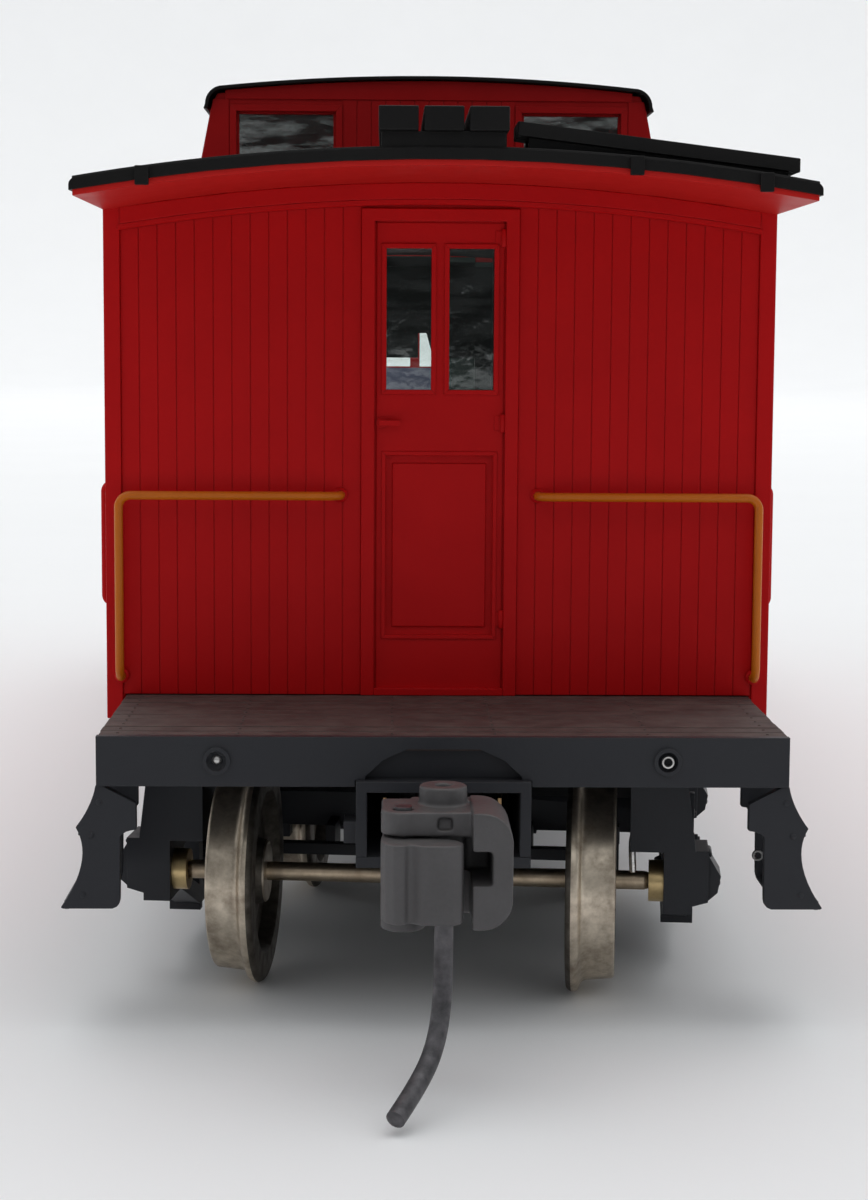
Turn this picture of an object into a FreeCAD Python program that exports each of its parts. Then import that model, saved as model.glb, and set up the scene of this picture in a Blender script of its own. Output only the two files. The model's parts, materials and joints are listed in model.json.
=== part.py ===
import FreeCAD, Part
import math
import os

# Model caboose with a cupola, 1:87 scale, running on 16.5 mm gauge track.
# Millimetres. +Z is up and +Y runs along the car. The origin is under the middle of the car, level
# with the lowest point of the wheel flanges. "near" is the -Y end and "far" is the +Y end: the far
# end is the near end turned half round about Z, except that the near truck rests turned a little.

Vector = FreeCAD.Vector

# wheels and track
BACK_TO_BACK = 14.5
WHEEL_WIDTH = 2.3
FLANGE_WIDTH = 0.75
TREAD_R = 4.75
FLANGE_R = 5.35
AXLE_R = 0.45
AXLE_Z = FLANGE_R
AXLE_TIP_X = 12.25
NEEDLE_X = 10.9

# trucks
WHEELBASE = 20.0
TRUCK_Y = 47.0
NEAR_TRUCK_TURN = -6.0
FRAME_INNER_X = 11.8
FRAME_THICK = 1.3
JOURNAL_OUT_X = 14.5
JOURNAL_HALF = 1.35
JOURNAL_LOW_Z = AXLE_Z - 1.3
JOURNAL_HIGH_Z = AXLE_Z + 1.75
WHEEL_PIECE_Z = 10.3
BEARING_R = 1.0
BEARING_IN_X = 11.1
BEARING_OUT_X = 12.5
BOLSTER_Z = 8.4
BOLSTER_LOW_Z = 5.9
BOLSTER_HALF = 1.7
PIVOT_PIN_R = 0.95
PIVOT_HOLE_R = 1.03

# body
WALL_X = 16.1
WALL_Y = 52.35
WALL = 1.0
CORNER_X = 16.4
CORNER_Y = 52.55
CORNER_WIDTH = 0.8
WALL_LOW_Z = 12.2
DECK_Z = 13.4
DOOR_HALF = 3.2
DOOR_TOP_Z = 36.7
DOOR_FACE_Y = 52.3
DOOR_THICK = 0.7

# roof
ROOF_TOP_Z = 39.3
ROOF_R = 95.0
ROOF_THICK = 0.5
ROOF_HALF = 16.5
ROOF_END = 64.1
SOFFIT_THICK = 0.25

# cupola
CUPOLA_Y = 16.5
CUPOLA_TOP_HALF = 13.75
CUPOLA_LOW_HALF = 15.0
CUPOLA_EAVE_Z = 45.6
CUPOLA_CROWN_Z = 47.1
CUPOLA_ROOF_R = 125.0
CUPOLA_ROOF_OVER = 0.6

# platforms and underframe
PLATFORM_END = 64.9
SILL_HALF = 15.45
SILL_LOW_Z = 11.15
SILL_THICK = 1.5
DECK_THICK = 0.7
FLOOR_THICK = 0.7
FLOOR_HALF = 15.0
CENTRE_SILL_HALF = 2.6
CENTRE_SILL_LOW_Z = 9.4
BOSS_LOW_Z = BOLSTER_Z + 0.15
FLOOR_LOW_Z = DECK_Z - DECK_THICK - FLOOR_THICK

# couplers
COUPLER_Z = 9.55
BOX_HALF = 3.9
BOX_LOW_Z = 7.55
BOX_HIGH_Z = 11.45
BOX_WALL = 0.5
BOX_FRONT_Y = 65.3
BOX_BACK_Y = 55.1
SHANK_PIVOT_Y = 59.4
SHANK_HALF = 1.1
SHANK_HIGH = 1.1
KNUCKLE_X = -1.85
KNUCKLE_Y = -73.2
KNUCKLE_LOW_Z = 7.45
KNUCKLE_HIGH_Z = 10.75
TRIP_PIN_R = 0.4

X_AXIS = Vector(1, 0, 0)
Y_AXIS = Vector(0, 1, 0)
Z_AXIS = Vector(0, 0, 1)
ORIGIN = Vector(0, 0, 0)


# ---------------------------------------------------------------- shaping helpers

def block(x0, x1, y0, y1, z0, z1):
    """A box between two corners."""
    return Part.makeBox(x1 - x0, y1 - y0, z1 - z0, Vector(x0, y0, z0))


def upright(x, y, z0, z1, radius):
    """A vertical round bar."""
    return Part.makeCylinder(radius, z1 - z0, Vector(x, y, z0), Z_AXIS)


def plate_xz(points, y0, y1):
    """A flat outline seen from the end of the car, thickened along Y."""
    corners = [Vector(x, y0, z) for x, z in points]
    face = Part.Face(Part.makePolygon(corners + corners[:1]))
    return face.extrude(Vector(0, y1 - y0, 0))


def plate_yz(points, x0, x1):
    """A flat outline seen from the side of the car, thickened along X."""
    corners = [Vector(x0, y, z) for y, z in points]
    face = Part.Face(Part.makePolygon(corners + corners[:1]))
    return face.extrude(Vector(x1 - x0, 0, 0))


def plate_xy(points, z0, z1):
    """A flat outline seen from above, thickened along Z."""
    corners = [Vector(x, y, z0) for x, y in points]
    face = Part.Face(Part.makePolygon(corners + corners[:1]))
    return face.extrude(Vector(0, 0, z1 - z0))


def turned_about_x(points, x, y, z):
    """A ring made by turning an outline of (along X, radius) points about an axis along X."""
    corners = [Vector(x + along, y, z + radius) for along, radius in points]
    face = Part.Face(Part.makePolygon(corners + corners[:1]))
    return face.revolve(Vector(x, y, z), X_AXIS, 360)


def fused(shapes):
    """One solid from shapes that touch or overlap."""
    joined = shapes[0].multiFuse(shapes[1:])
    return joined.removeSplitter()


def half_turned(shape):
    """A copy turned half round about the middle of the car."""
    copy = shape.copy()
    copy.rotate(ORIGIN, Z_AXIS, 180)
    return copy


def mirrored_x(shape):
    """The same piece for the other side of the car."""
    return shape.mirror(ORIGIN, X_AXIS)


def both_ends(shapes):
    """The near end's pieces and the far end's."""
    return shapes + [half_turned(shape) for shape in shapes]


def both_sides(shapes):
    """The right side's pieces and the left side's."""
    return shapes + [mirrored_x(shape) for shape in shapes]


def arc_z(x, crown_z, radius, depth=0.0):
    """Height of an arched surface, depth below a crown of the given radius."""
    return crown_z - radius + math.sqrt((radius - depth) ** 2 - x * x)


def arched(half, crown_z, radius, depth, thick, y0, y1):
    """An arched sheet across the car, its top depth below the crown surface."""
    low = depth + thick
    a = Vector(-half, y0, arc_z(half, crown_z, radius, depth))
    b = Vector(0, y0, crown_z - depth)
    c = Vector(half, y0, a.z)
    d = Vector(half, y0, arc_z(half, crown_z, radius, low))
    e = Vector(0, y0, crown_z - low)
    f = Vector(-half, y0, d.z)
    edges = [Part.Arc(a, b, c).toShape(), Part.makeLine(c, d)]
    edges += [Part.Arc(d, e, f).toShape(), Part.makeLine(f, a)]
    return Part.Face(Part.Wire(edges)).extrude(Vector(0, y1 - y0, 0))


def under_arch(half, crown_z, radius, depth, z0, y0, y1):
    """Everything from z0 up to an arched surface."""
    a = Vector(-half, y0, arc_z(half, crown_z, radius, depth))
    b = Vector(0, y0, crown_z - depth)
    c = Vector(half, y0, a.z)
    d = Vector(half, y0, z0)
    e = Vector(-half, y0, z0)
    edges = [Part.Arc(a, b, c).toShape(), Part.makeLine(c, d), Part.makeLine(d, e), Part.makeLine(e, a)]
    return Part.Face(Part.Wire(edges)).extrude(Vector(0, y1 - y0, 0))


def bent_rod(points, radius, bend):
    """A round wire through points, each corner rounded to the bend radius."""
    route = [Vector(*point) for point in points]
    edges = []
    start = route[0]
    for before, corner, after in zip(route, route[1:], route[2:]):
        into = (corner - before).normalize()
        out = (after - corner).normalize()
        half_angle = into.getAngle(out) / 2
        setback = bend * math.tan(half_angle)
        arc_in = corner - into * setback
        arc_out = corner + out * setback
        middle_way = (out - into).normalize()
        reach = bend / math.cos(half_angle) - bend
        edges.append(Part.makeLine(start, arc_in))
        edges.append(Part.Arc(arc_in, corner + middle_way * reach, arc_out).toShape())
        start = arc_out
    edges.append(Part.makeLine(start, route[-1]))
    path = Part.Wire(edges)
    heading = route[1] - route[0]
    section = Part.Wire([Part.makeCircle(radius, route[0], heading)])
    return path.makePipeShell([section], True, False)


def save(name, shapes):
    """Write one node, a single solid or a group of them."""
    shape = shapes if isinstance(shapes, Part.Shape) else Part.makeCompound(shapes)
    if not shape.isValid():
        print("not valid:", name)
    shape.exportStep("parts/" + name + ".step")


# ---------------------------------------------------------------- body

SIDE_WINDOW_YS = (-32.0, 32.0)
SIDE_WINDOW_HALF = 3.0
SIDE_WINDOW_LOW_Z = 24.3
SIDE_WINDOW_HIGH_Z = 32.5
CUPOLA_WINDOW_IN_X = 5.9
CUPOLA_WINDOW_OUT_X = 12.2
CUPOLA_WINDOW_LOW_Z = 41.3
CUPOLA_WINDOW_HIGH_Z = 45.3
CUPOLA_SIDE_WINDOW_YS = (-8.0, 8.0)
CUPOLA_SIDE_WINDOW_HALF = 5.2
PANE_IN_X = 0.42
PANE_OUT_X = 2.65
PANE_LOW_Z = 28.5
PANE_HIGH_Z = 35.4


def make_body_shell():
    """Four walls with corner boards, door and window openings, and trim along the top."""
    depth = ROOF_THICK
    outer = under_arch(WALL_X, ROOF_TOP_Z, ROOF_R, depth, WALL_LOW_Z, -WALL_Y, WALL_Y)
    limit = under_arch(CORNER_X, ROOF_TOP_Z, ROOF_R, depth, WALL_LOW_Z, -CORNER_Y, CORNER_Y)
    boards = []
    for side in (-1, 1):
        for end in (-1, 1):
            xs = sorted((side * (CORNER_X - CORNER_WIDTH), side * CORNER_X))
            ys = sorted((end * (CORNER_Y - CORNER_WIDTH), end * CORNER_Y))
            boards.append(block(xs[0], xs[1], ys[0], ys[1], WALL_LOW_Z, ROOF_TOP_Z).common(limit))
    for side in (-1, 1):
        xs = sorted((side * (WALL_X - 0.3), side * (WALL_X + 0.2)))
        reach = CORNER_Y - CORNER_WIDTH
        boards.append(block(xs[0], xs[1], -reach, reach, 36.4, 37.3))
        boards.append(block(xs[0], xs[1], -reach, reach, WALL_LOW_Z, 13.0))
    for y0, y1 in ((-WALL_Y - 0.25, -WALL_Y + 0.3), (WALL_Y - 0.3, WALL_Y + 0.25)):
        depth = ROOF_THICK + SOFFIT_THICK
        boards.append(arched(CORNER_X - CORNER_WIDTH, ROOF_TOP_Z, ROOF_R, depth, 0.8, y0, y1))
        boards.append(block(-3.85, 3.85, y0, y1, DECK_Z, 37.3))
    shell = fused([outer] + boards)
    inside_x = WALL_X - WALL
    inside_y = WALL_Y - WALL
    cuts = [block(-inside_x, inside_x, -inside_y, inside_y, 0, 50)]
    cuts.append(block(-DOOR_HALF, DOOR_HALF, -60, 60, DECK_Z, DOOR_TOP_Z))
    for end in (-1, 1):
        ys = sorted((end * 50, end * 60))
        cuts.append(block(-SILL_HALF - 0.05, SILL_HALF + 0.05, ys[0], ys[1], 10, DECK_Z))
    for y in SIDE_WINDOW_YS:
        y0 = y - SIDE_WINDOW_HALF
        y1 = y + SIDE_WINDOW_HALF
        cuts.append(block(-20, 20, y0, y1, SIDE_WINDOW_LOW_Z, SIDE_WINDOW_HIGH_Z))
    for cut in cuts:
        shell = shell.cut(cut)
    return shell


def make_roof():
    """The arched roof, open under the cupola, with its long edges rounded."""
    sheet = arched(ROOF_HALF, ROOF_TOP_Z, ROOF_R, 0.0, ROOF_THICK, -ROOF_END, ROOF_END)
    edge_z = arc_z(ROOF_HALF, ROOF_TOP_Z, ROOF_R)
    upper = []
    for edge in sheet.Edges:
        centre = edge.CenterOfMass
        if abs(centre.y) < 0.01 and abs(centre.z - edge_z) < 0.01:
            upper.append(edge)
    sheet = sheet.makeFillet(0.35, upper)
    well = CUPOLA_TOP_HALF - 1.0
    return sheet.cut(block(-well, well, -CUPOLA_Y + 1.4, CUPOLA_Y - 1.4, 30, 50))


def make_canopy_soffits():
    """The ceiling over each platform."""
    y0 = -ROOF_END + 0.15
    near = arched(ROOF_HALF - 0.15, ROOF_TOP_Z, ROOF_R, ROOF_THICK, SOFFIT_THICK, y0, -CORNER_Y)
    return both_ends([near])


def make_end_doors():
    """Door leaves with two glazed openings over a sunk panel."""
    back_y = -DOOR_FACE_Y + DOOR_THICK
    half = DOOR_HALF - 0.08
    leaf = block(-half, half, -DOOR_FACE_Y, back_y, DECK_Z + 0.05, DOOR_TOP_Z - 0.08)
    for side in (-1, 1):
        xs = sorted((side * PANE_IN_X, side * PANE_OUT_X))
        leaf = leaf.cut(block(xs[0], xs[1], -60, -50, PANE_LOW_Z, PANE_HIGH_Z))
    panel_front = -DOOR_FACE_Y + 0.25
    leaf = leaf.cut(block(-2.65, 2.65, -60, panel_front, 16.4, 25.3))
    field = block(-2.3, 2.3, -DOOR_FACE_Y + 0.12, panel_front + 0.1, 16.8, 24.9)
    return both_ends([fused([leaf, field])])


def make_door_glazing():
    """Clear panes that fill the door openings."""
    near = []
    for side in (-1, 1):
        xs = sorted((side * PANE_IN_X, side * PANE_OUT_X))
        near.append(block(xs[0], xs[1], -DOOR_FACE_Y + 0.25, -DOOR_FACE_Y + 0.45, PANE_LOW_Z, PANE_HIGH_Z))
    return both_ends(near)


def make_door_handles():
    """A lever handle on a round rose."""
    x = -2.85
    z = 26.9
    face = -DOOR_FACE_Y
    rose = Part.makeCylinder(0.28, 0.12, Vector(x, face - 0.12, z), Y_AXIS)
    neck = Part.makeCylinder(0.13, 0.4, Vector(x, face - 0.5, z), Y_AXIS)
    lever = block(x - 0.13, x + 0.9, face - 0.52, face - 0.34, z - 0.13, z + 0.13)
    return both_ends([fused([rose, neck, lever])])


def side_window_frame(y):
    """A wooden frame round a side window, with a meeting rail across the middle."""
    face_x = WALL_X
    middle_z = (SIDE_WINDOW_LOW_Z + SIDE_WINDOW_HIGH_Z) / 2
    outer = block(face_x, face_x + 0.3, y - SIDE_WINDOW_HALF - 0.6, y + SIDE_WINDOW_HALF + 0.6,
                  SIDE_WINDOW_LOW_Z - 0.6, SIDE_WINDOW_HIGH_Z + 0.6)
    inner = block(face_x - 1, face_x + 1, y - SIDE_WINDOW_HALF + 0.35, y + SIDE_WINDOW_HALF - 0.35,
                  SIDE_WINDOW_LOW_Z + 0.35, SIDE_WINDOW_HIGH_Z - 0.35)
    rail = block(face_x, face_x + 0.2, y - SIDE_WINDOW_HALF, y + SIDE_WINDOW_HALF,
                 middle_z - 0.2, middle_z + 0.2)
    return fused([outer.cut(inner), rail])


def make_window_frames():
    """Frames round the side windows."""
    return both_sides([side_window_frame(y) for y in SIDE_WINDOW_YS])


def make_side_glazing():
    """Clear panes in the side windows."""
    panes = []
    for y in SIDE_WINDOW_YS:
        panes.append(block(WALL_X - 0.35, WALL_X - 0.1, y - SIDE_WINDOW_HALF, y + SIDE_WINDOW_HALF,
                           SIDE_WINDOW_LOW_Z, SIDE_WINDOW_HIGH_Z))
    return both_sides(panes)


# ---------------------------------------------------------------- cupola

def cupola_block(inset, low_z=30.0):
    """The cupola's outer form moved inwards by inset: leaning sides under an arched top."""
    lean = (CUPOLA_LOW_HALF - CUPOLA_TOP_HALF) / (CUPOLA_EAVE_Z - ROOF_TOP_Z)
    eave_half = CUPOLA_TOP_HALF - inset
    low_half = eave_half + lean * (CUPOLA_EAVE_Z - low_z)
    top_half = eave_half - 0.35
    top_z = arc_z(top_half, CUPOLA_CROWN_Z, CUPOLA_ROOF_R, inset)
    y0 = -CUPOLA_Y + inset
    points = [Vector(-low_half, y0, low_z), Vector(-eave_half, y0, CUPOLA_EAVE_Z)]
    points.append(Vector(-top_half, y0, top_z))
    points += [Vector(-point.x, y0, point.z) for point in reversed(points)]
    edges = [Part.makeLine(points[0], points[1]), Part.makeLine(points[1], points[2])]
    edges.append(Part.Arc(points[2], Vector(0, y0, CUPOLA_CROWN_Z - inset), points[3]).toShape())
    edges += [Part.makeLine(points[3], points[4]), Part.makeLine(points[4], points[5])]
    edges.append(Part.makeLine(points[5], points[0]))
    return Part.Face(Part.Wire(edges)).extrude(Vector(0, -2 * y0, 0))


def cupola_windows():
    """Cutting blocks for the end windows and the side windows."""
    blocks = []
    for side in (-1, 1):
        xs = sorted((side * CUPOLA_WINDOW_IN_X, side * CUPOLA_WINDOW_OUT_X))
        blocks.append(block(xs[0], xs[1], -20, 20, CUPOLA_WINDOW_LOW_Z, CUPOLA_WINDOW_HIGH_Z))
    for y in CUPOLA_SIDE_WINDOW_YS:
        blocks.append(block(-20, 20, y - CUPOLA_SIDE_WINDOW_HALF, y + CUPOLA_SIDE_WINDOW_HALF,
                            CUPOLA_WINDOW_LOW_Z, CUPOLA_WINDOW_HIGH_Z - 0.3))
    return blocks


def make_cupola_shell():
    """Cupola walls that stand on the main roof."""
    body = cupola_block(0.0).cut(cupola_block(0.9))
    body = body.cut(block(-30, 30, -CUPOLA_Y + 0.9, CUPOLA_Y - 0.9, 46.2, 50).common(cupola_block(0.9)))
    body = body.cut(under_arch(30, ROOF_TOP_Z, ROOF_R, 0.0, 0, -30, 30))
    for cut in cupola_windows():
        body = body.cut(cut)
    return body


def cupola_roof_section(inset, y0, y1):
    """The cupola roof's rounded outline."""
    half = 14.25 - inset
    low_z = 45.05
    shoulder_z = 45.8
    crown_z = CUPOLA_CROWN_Z + 0.42 - inset
    corner = 1.15 - inset
    top_x = half - 0.1 - corner
    top_z = arc_z(top_x, crown_z, CUPOLA_ROOF_R)
    a = Vector(-half, y0, low_z)
    b = Vector(-half + 0.1, y0, shoulder_z)
    c = Vector(-half + 0.1 + corner * 0.3, y0, shoulder_z + (top_z - shoulder_z) * 0.72)
    d = Vector(-top_x, y0, top_z)
    mirror = [Vector(-point.x, y0, point.z) for point in (d, c, b, a)]
    edges = [Part.makeLine(a, b), Part.Arc(b, c, d).toShape()]
    edges.append(Part.Arc(d, Vector(0, y0, crown_z), mirror[0]).toShape())
    edges += [Part.Arc(mirror[0], mirror[1], mirror[2]).toShape(), Part.makeLine(mirror[2], mirror[3])]
    edges.append(Part.makeLine(mirror[3], a))
    return Part.Face(Part.Wire(edges)).extrude(Vector(0, y1 - y0, 0))


def make_cupola_roof():
    """A thin rounded cover that laps down over the cupola's sides."""
    end = CUPOLA_Y + CUPOLA_ROOF_OVER
    cover = cupola_roof_section(0.0, -end, end)
    return cover.cut(cupola_roof_section(0.38, -end - 1, end + 1)).cut(cupola_block(0.0))


def make_cupola_glazing():
    """Clear panes in the cupola's end and side windows."""
    sheet = cupola_block(0.4).cut(cupola_block(0.65))
    panes = []
    for cut in cupola_windows():
        piece = sheet.common(cut)
        panes += piece.Solids
    return panes


# ---------------------------------------------------------------- roof walk

RUN_CENTRE_X = -0.15
PLANK_WIDTH = 1.74
PLANK_GAP = 0.24
PLANK_LOW_Z = 40.0
PLANK_HIGH_Z = 41.05
PLANK_START_Y = -64.5
PLANK_STOP_Y = -17.4
SADDLE_YS = (-63.55, -54.4, -45.2, -36.0, -26.8, -18.4)
LATERAL_IN = (3.1, 40.5)
LATERAL_OUT = (15.55, 38.98)
LATERAL_THICK = 0.6


def make_running_boards():
    """Three planks along the roof on each side of the cupola."""
    planks = []
    for index in (-1, 0, 1):
        x = RUN_CENTRE_X + index * (PLANK_WIDTH + PLANK_GAP)
        planks.append(block(x - PLANK_WIDTH / 2, x + PLANK_WIDTH / 2, PLANK_START_Y, PLANK_STOP_Y,
                            PLANK_LOW_Z, PLANK_HIGH_Z))
    return both_ends(planks)


def make_running_board_saddles():
    """Shaped blocks that carry the planks level above the arched roof."""
    roof_form = under_arch(30, ROOF_TOP_Z, ROOF_R, 0.0, 0, -80, 80)
    saddles = []
    for y in SADDLE_YS:
        blank = block(RUN_CENTRE_X - 2.75, RUN_CENTRE_X + 2.75, y - 0.4, y + 0.4, 38, PLANK_LOW_Z)
        saddles.append(blank.cut(roof_form))
    return both_ends(saddles)


def lateral_z(x):
    """Height of the top of the lateral running board."""
    share = (x - LATERAL_IN[0]) / (LATERAL_OUT[0] - LATERAL_IN[0])
    return LATERAL_IN[1] + share * (LATERAL_OUT[1] - LATERAL_IN[1])


def make_lateral_running_boards():
    """Two short planks from the roof walk out to the corner of the roof."""
    x0 = LATERAL_IN[0]
    x1 = LATERAL_OUT[0]
    outline = [(x0, lateral_z(x0)), (x1, lateral_z(x1))]
    outline += [(x1, lateral_z(x1) - LATERAL_THICK), (x0, lateral_z(x0) - LATERAL_THICK)]
    boards = [plate_xz(outline, -63.6, -61.85), plate_xz(outline, -61.7, -59.95)]
    return both_ends(boards)


def make_roof_brackets():
    """Tapered cleats under the lateral boards, and straps over the ends of the roof."""
    roof_form = under_arch(30, ROOF_TOP_Z, ROOF_R, 0.0, 0, -80, 80)
    pieces = []
    x0 = 3.6
    x1 = 15.1
    cleat = [(x0, 36), (x1, 36), (x1, lateral_z(x1) - LATERAL_THICK), (x0, lateral_z(x0) - LATERAL_THICK)]
    for y in (-63.2, -60.7):
        pieces.append(plate_xz(cleat, y, y + 0.4).cut(roof_form))
    for x in (-13.3, 8.3, 14.0):
        low_z = arc_z(x, ROOF_TOP_Z, ROOF_R, ROOF_THICK) - 0.28
        high_z = arc_z(x, ROOF_TOP_Z, ROOF_R) + 0.05
        pieces.append(block(x - 0.3, x + 0.3, -ROOF_END - 0.25, -ROOF_END, low_z, high_z))
    return both_ends(pieces)


def make_smoke_jack():
    """Stove pipe with a flared base and a conical cap on struts."""
    x = 6.5
    y = 27.0
    roof_form = under_arch(30, ROOF_TOP_Z, ROOF_R, 0.0, 0, -80, 80)
    base = Part.makeCone(1.7, 1.0, 2.2, Vector(x, y, 38.4), Z_AXIS)
    pipe = upright(x, y, 38.4, 44.2, 0.85)
    collar = upright(x, y, 43.4, 43.75, 1.0)
    struts = []
    for angle in (0.5, 2.6, 4.7):
        strut_x = x + 0.6 * math.cos(angle)
        strut_y = y + 0.6 * math.sin(angle)
        struts.append(upright(strut_x, strut_y, 44.0, 45.1, 0.12))
    cap = Part.makeCone(1.5, 0.1, 0.8, Vector(x, y, 45.0), Z_AXIS)
    return fused([base, pipe, collar, cap] + struts).cut(roof_form)


# ---------------------------------------------------------------- handrails

GRAB_R = 0.21
GRAB_OUT_Y = -53.5
GRAB_Z = 23.35
GRAB_CORNER_X = 15.65
GRAB_INNER_X = 4.85
GRAB_LOW_Z = 14.35


def make_end_grab_irons():
    """Bent wires on the end walls: across from the door, then down beside the corner."""
    wall = -WALL_Y
    route = [(GRAB_INNER_X, wall, GRAB_Z), (GRAB_INNER_X, GRAB_OUT_Y, GRAB_Z),
             (GRAB_CORNER_X, GRAB_OUT_Y, GRAB_Z), (GRAB_CORNER_X, GRAB_OUT_Y, GRAB_LOW_Z),
             (GRAB_CORNER_X, -CORNER_Y, GRAB_LOW_Z)]
    right = bent_rod(route, GRAB_R, 0.6)
    return both_ends([right, mirrored_x(right)])


def make_side_handrails():
    """Short upright handrails on the sides, by each corner."""
    x = WALL_X + 0.62
    rails = []
    for y in (-50.0, 50.0):
        route = [(WALL_X, y, 23.7), (x, y, 23.7), (x, y, 17.7), (WALL_X, y, 17.7)]
        rails.append(bent_rod(route, 0.19, 0.4))
    return both_sides(rails)


# ---------------------------------------------------------------- platforms and underframe

def make_underframe():
    """The floor plate that runs from end sill to end sill."""
    end = PLATFORM_END - SILL_THICK
    return block(-FLOOR_HALF, FLOOR_HALF, -end, end, FLOOR_LOW_Z, FLOOR_LOW_Z + FLOOR_THICK)


def make_platform_decks():
    """The wooden deck on each platform."""
    deck = block(-SILL_HALF, SILL_HALF, -PLATFORM_END + 0.45, -WALL_Y + WALL, DECK_Z - DECK_THICK, DECK_Z)
    return both_ends([deck])


def make_end_sills():
    """Deep beams across each end with a hollow over the coupler and two push-pole pockets."""
    front = -PLATFORM_END
    back = front + SILL_THICK
    beam = block(-SILL_HALF, SILL_HALF, front, back, SILL_LOW_Z, DECK_Z)
    beam = beam.cut(block(-20, 20, front + 0.45, back + 1, DECK_Z - DECK_THICK, DECK_Z + 1))
    hollow = [(-3.5, 11.0), (-3.5, 11.6), (-2.7, 12.35), (-1.6, 12.85),
              (1.6, 12.85), (2.7, 12.35), (3.5, 11.6), (3.5, 11.0)]
    beam = beam.cut(plate_xz(hollow, front - 1, front + 0.6))
    beam = beam.cut(block(-BOX_HALF - 0.05, BOX_HALF + 0.05, front - 1, back + 1, 10, BOX_HIGH_Z))
    for x in (-10.1, 10.0):
        rim = Part.makeCylinder(0.62, 0.3, Vector(x, front - 0.14, 12.3), Y_AXIS)
        beam = fused([beam, rim]).cut(Part.makeSphere(0.45, Vector(x, front - 0.14, 12.3)))
    return both_ends([beam])


STEP_FRONT_Y = -64.75
STEP_BACK_Y = -58.75
STRINGER_THICK = 0.5
UPPER_TREAD_Z = 9.0
LOWER_TREAD_Z = 5.75


def step_outline(inner_x):
    """A stringer seen from the end of the car, from the inner edge out to the stepped outer edge."""
    return [(inner_x - 0.75, 10.35), (15.3, SILL_LOW_Z), (15.5, SILL_LOW_Z), (15.75, 10.4), (16.35, 9.45),
            (16.4, 9.15), (16.1, 8.3), (16.1, 7.55), (16.4, 6.8), (17.1, 5.6), (inner_x + 0.35, 5.55),
            (inner_x, 5.95), (inner_x, 8.95), (inner_x - 0.75, 9.15)]


def make_steps():
    """Two treads between a pair of stringers at each corner."""
    front = plate_xz(step_outline(14.45), STEP_FRONT_Y, STEP_FRONT_Y + STRINGER_THICK)
    back = plate_xz(step_outline(14.95), STEP_BACK_Y - STRINGER_THICK, STEP_BACK_Y)
    upper = block(14.5, 16.3, STEP_FRONT_Y, STEP_BACK_Y, UPPER_TREAD_Z, UPPER_TREAD_Z + 0.35)
    lower = block(15.0, 17.0, STEP_FRONT_Y, STEP_BACK_Y, LOWER_TREAD_Z - 0.1, LOWER_TREAD_Z + 0.25)
    hanger = block(14.3, 15.0, STEP_BACK_Y - STRINGER_THICK, STEP_BACK_Y, 10.2, FLOOR_LOW_Z)
    right = fused([front, back, upper, lower, hanger])
    return both_ends([right, mirrored_x(right)])


def make_centre_sill():
    """The backbone beam, with holes for the truck pivot pins."""
    half = BOX_BACK_Y - 0.15
    beam = block(-CENTRE_SILL_HALF, CENTRE_SILL_HALF, -half, half, CENTRE_SILL_LOW_Z, FLOOR_LOW_Z)
    for side in (-1, 1):
        xs = sorted((side * 1.7, side * (CENTRE_SILL_HALF + 1)))
        beam = beam.cut(block(xs[0], xs[1], -43.0, 43.0, CENTRE_SILL_LOW_Z + 0.5, FLOOR_LOW_Z - 0.4))
    for y in (-TRUCK_Y, TRUCK_Y):
        beam = beam.cut(upright(0, y, CENTRE_SILL_LOW_Z - 1, 11.3, PIVOT_PIN_R + 0.02))
    return beam


def make_floor_framing():
    """Side sills and cross bearers under the floor plate."""
    pieces = [block(13.6, 14.6, -52.0, 52.0, 10.9, FLOOR_LOW_Z)]
    for y in (-15.0, 15.0):
        outline = [(CENTRE_SILL_HALF, FLOOR_LOW_Z), (13.6, FLOOR_LOW_Z), (13.6, 11.0),
                   (CENTRE_SILL_HALF, 9.9)]
        pieces.append(plate_xz(outline, y - 0.6, y + 0.6))
    return both_sides(pieces)


def make_body_bolsters():
    """Cross beams over each truck, and the round boss that the truck turns on."""
    arm_outline = [(CENTRE_SILL_HALF, FLOOR_LOW_Z), (13.6, FLOOR_LOW_Z), (13.6, 11.3),
                   (CENTRE_SILL_HALF, 10.2)]
    arm = plate_xz(arm_outline, -TRUCK_Y - 1.6, -TRUCK_Y + 1.6)
    boss = upright(0, -TRUCK_Y, BOSS_LOW_Z, CENTRE_SILL_LOW_Z, 2.4)
    boss = boss.cut(upright(0, -TRUCK_Y, 0, 20, PIVOT_PIN_R + 0.02))
    return both_ends([arm, mirrored_x(arm), boss])


def make_floor_weight():
    """The steel ballast plate on the floor, inside the body."""
    low_z = FLOOR_LOW_Z + FLOOR_THICK
    return block(-12.5, 12.5, -44.0, 44.0, low_z, low_z + 1.6)


def make_interior_bulkheads():
    """Partitions under the cupola with a walkway through the middle."""
    y = CUPOLA_Y - 1.0
    inside_x = WALL_X - WALL
    wall = block(-inside_x, inside_x, y - 0.8, y, 14.4, 36.6)
    wall = wall.cut(block(-4.2, 4.2, y - 2, y + 2, 10, 29.6))
    wall = wall.cut(plate_xz([(-0.2, 29.5), (1.0, 29.5), (0.45, 31.5), (-0.2, 31.5)], y - 2, y + 2))
    bench = wall.copy()
    bench.rotate(ORIGIN, Z_AXIS, 180)
    bench = bench.cut(block(-4.2, 4.2, -30, 0, 10, 40))
    return [wall] + bench.Solids


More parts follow.
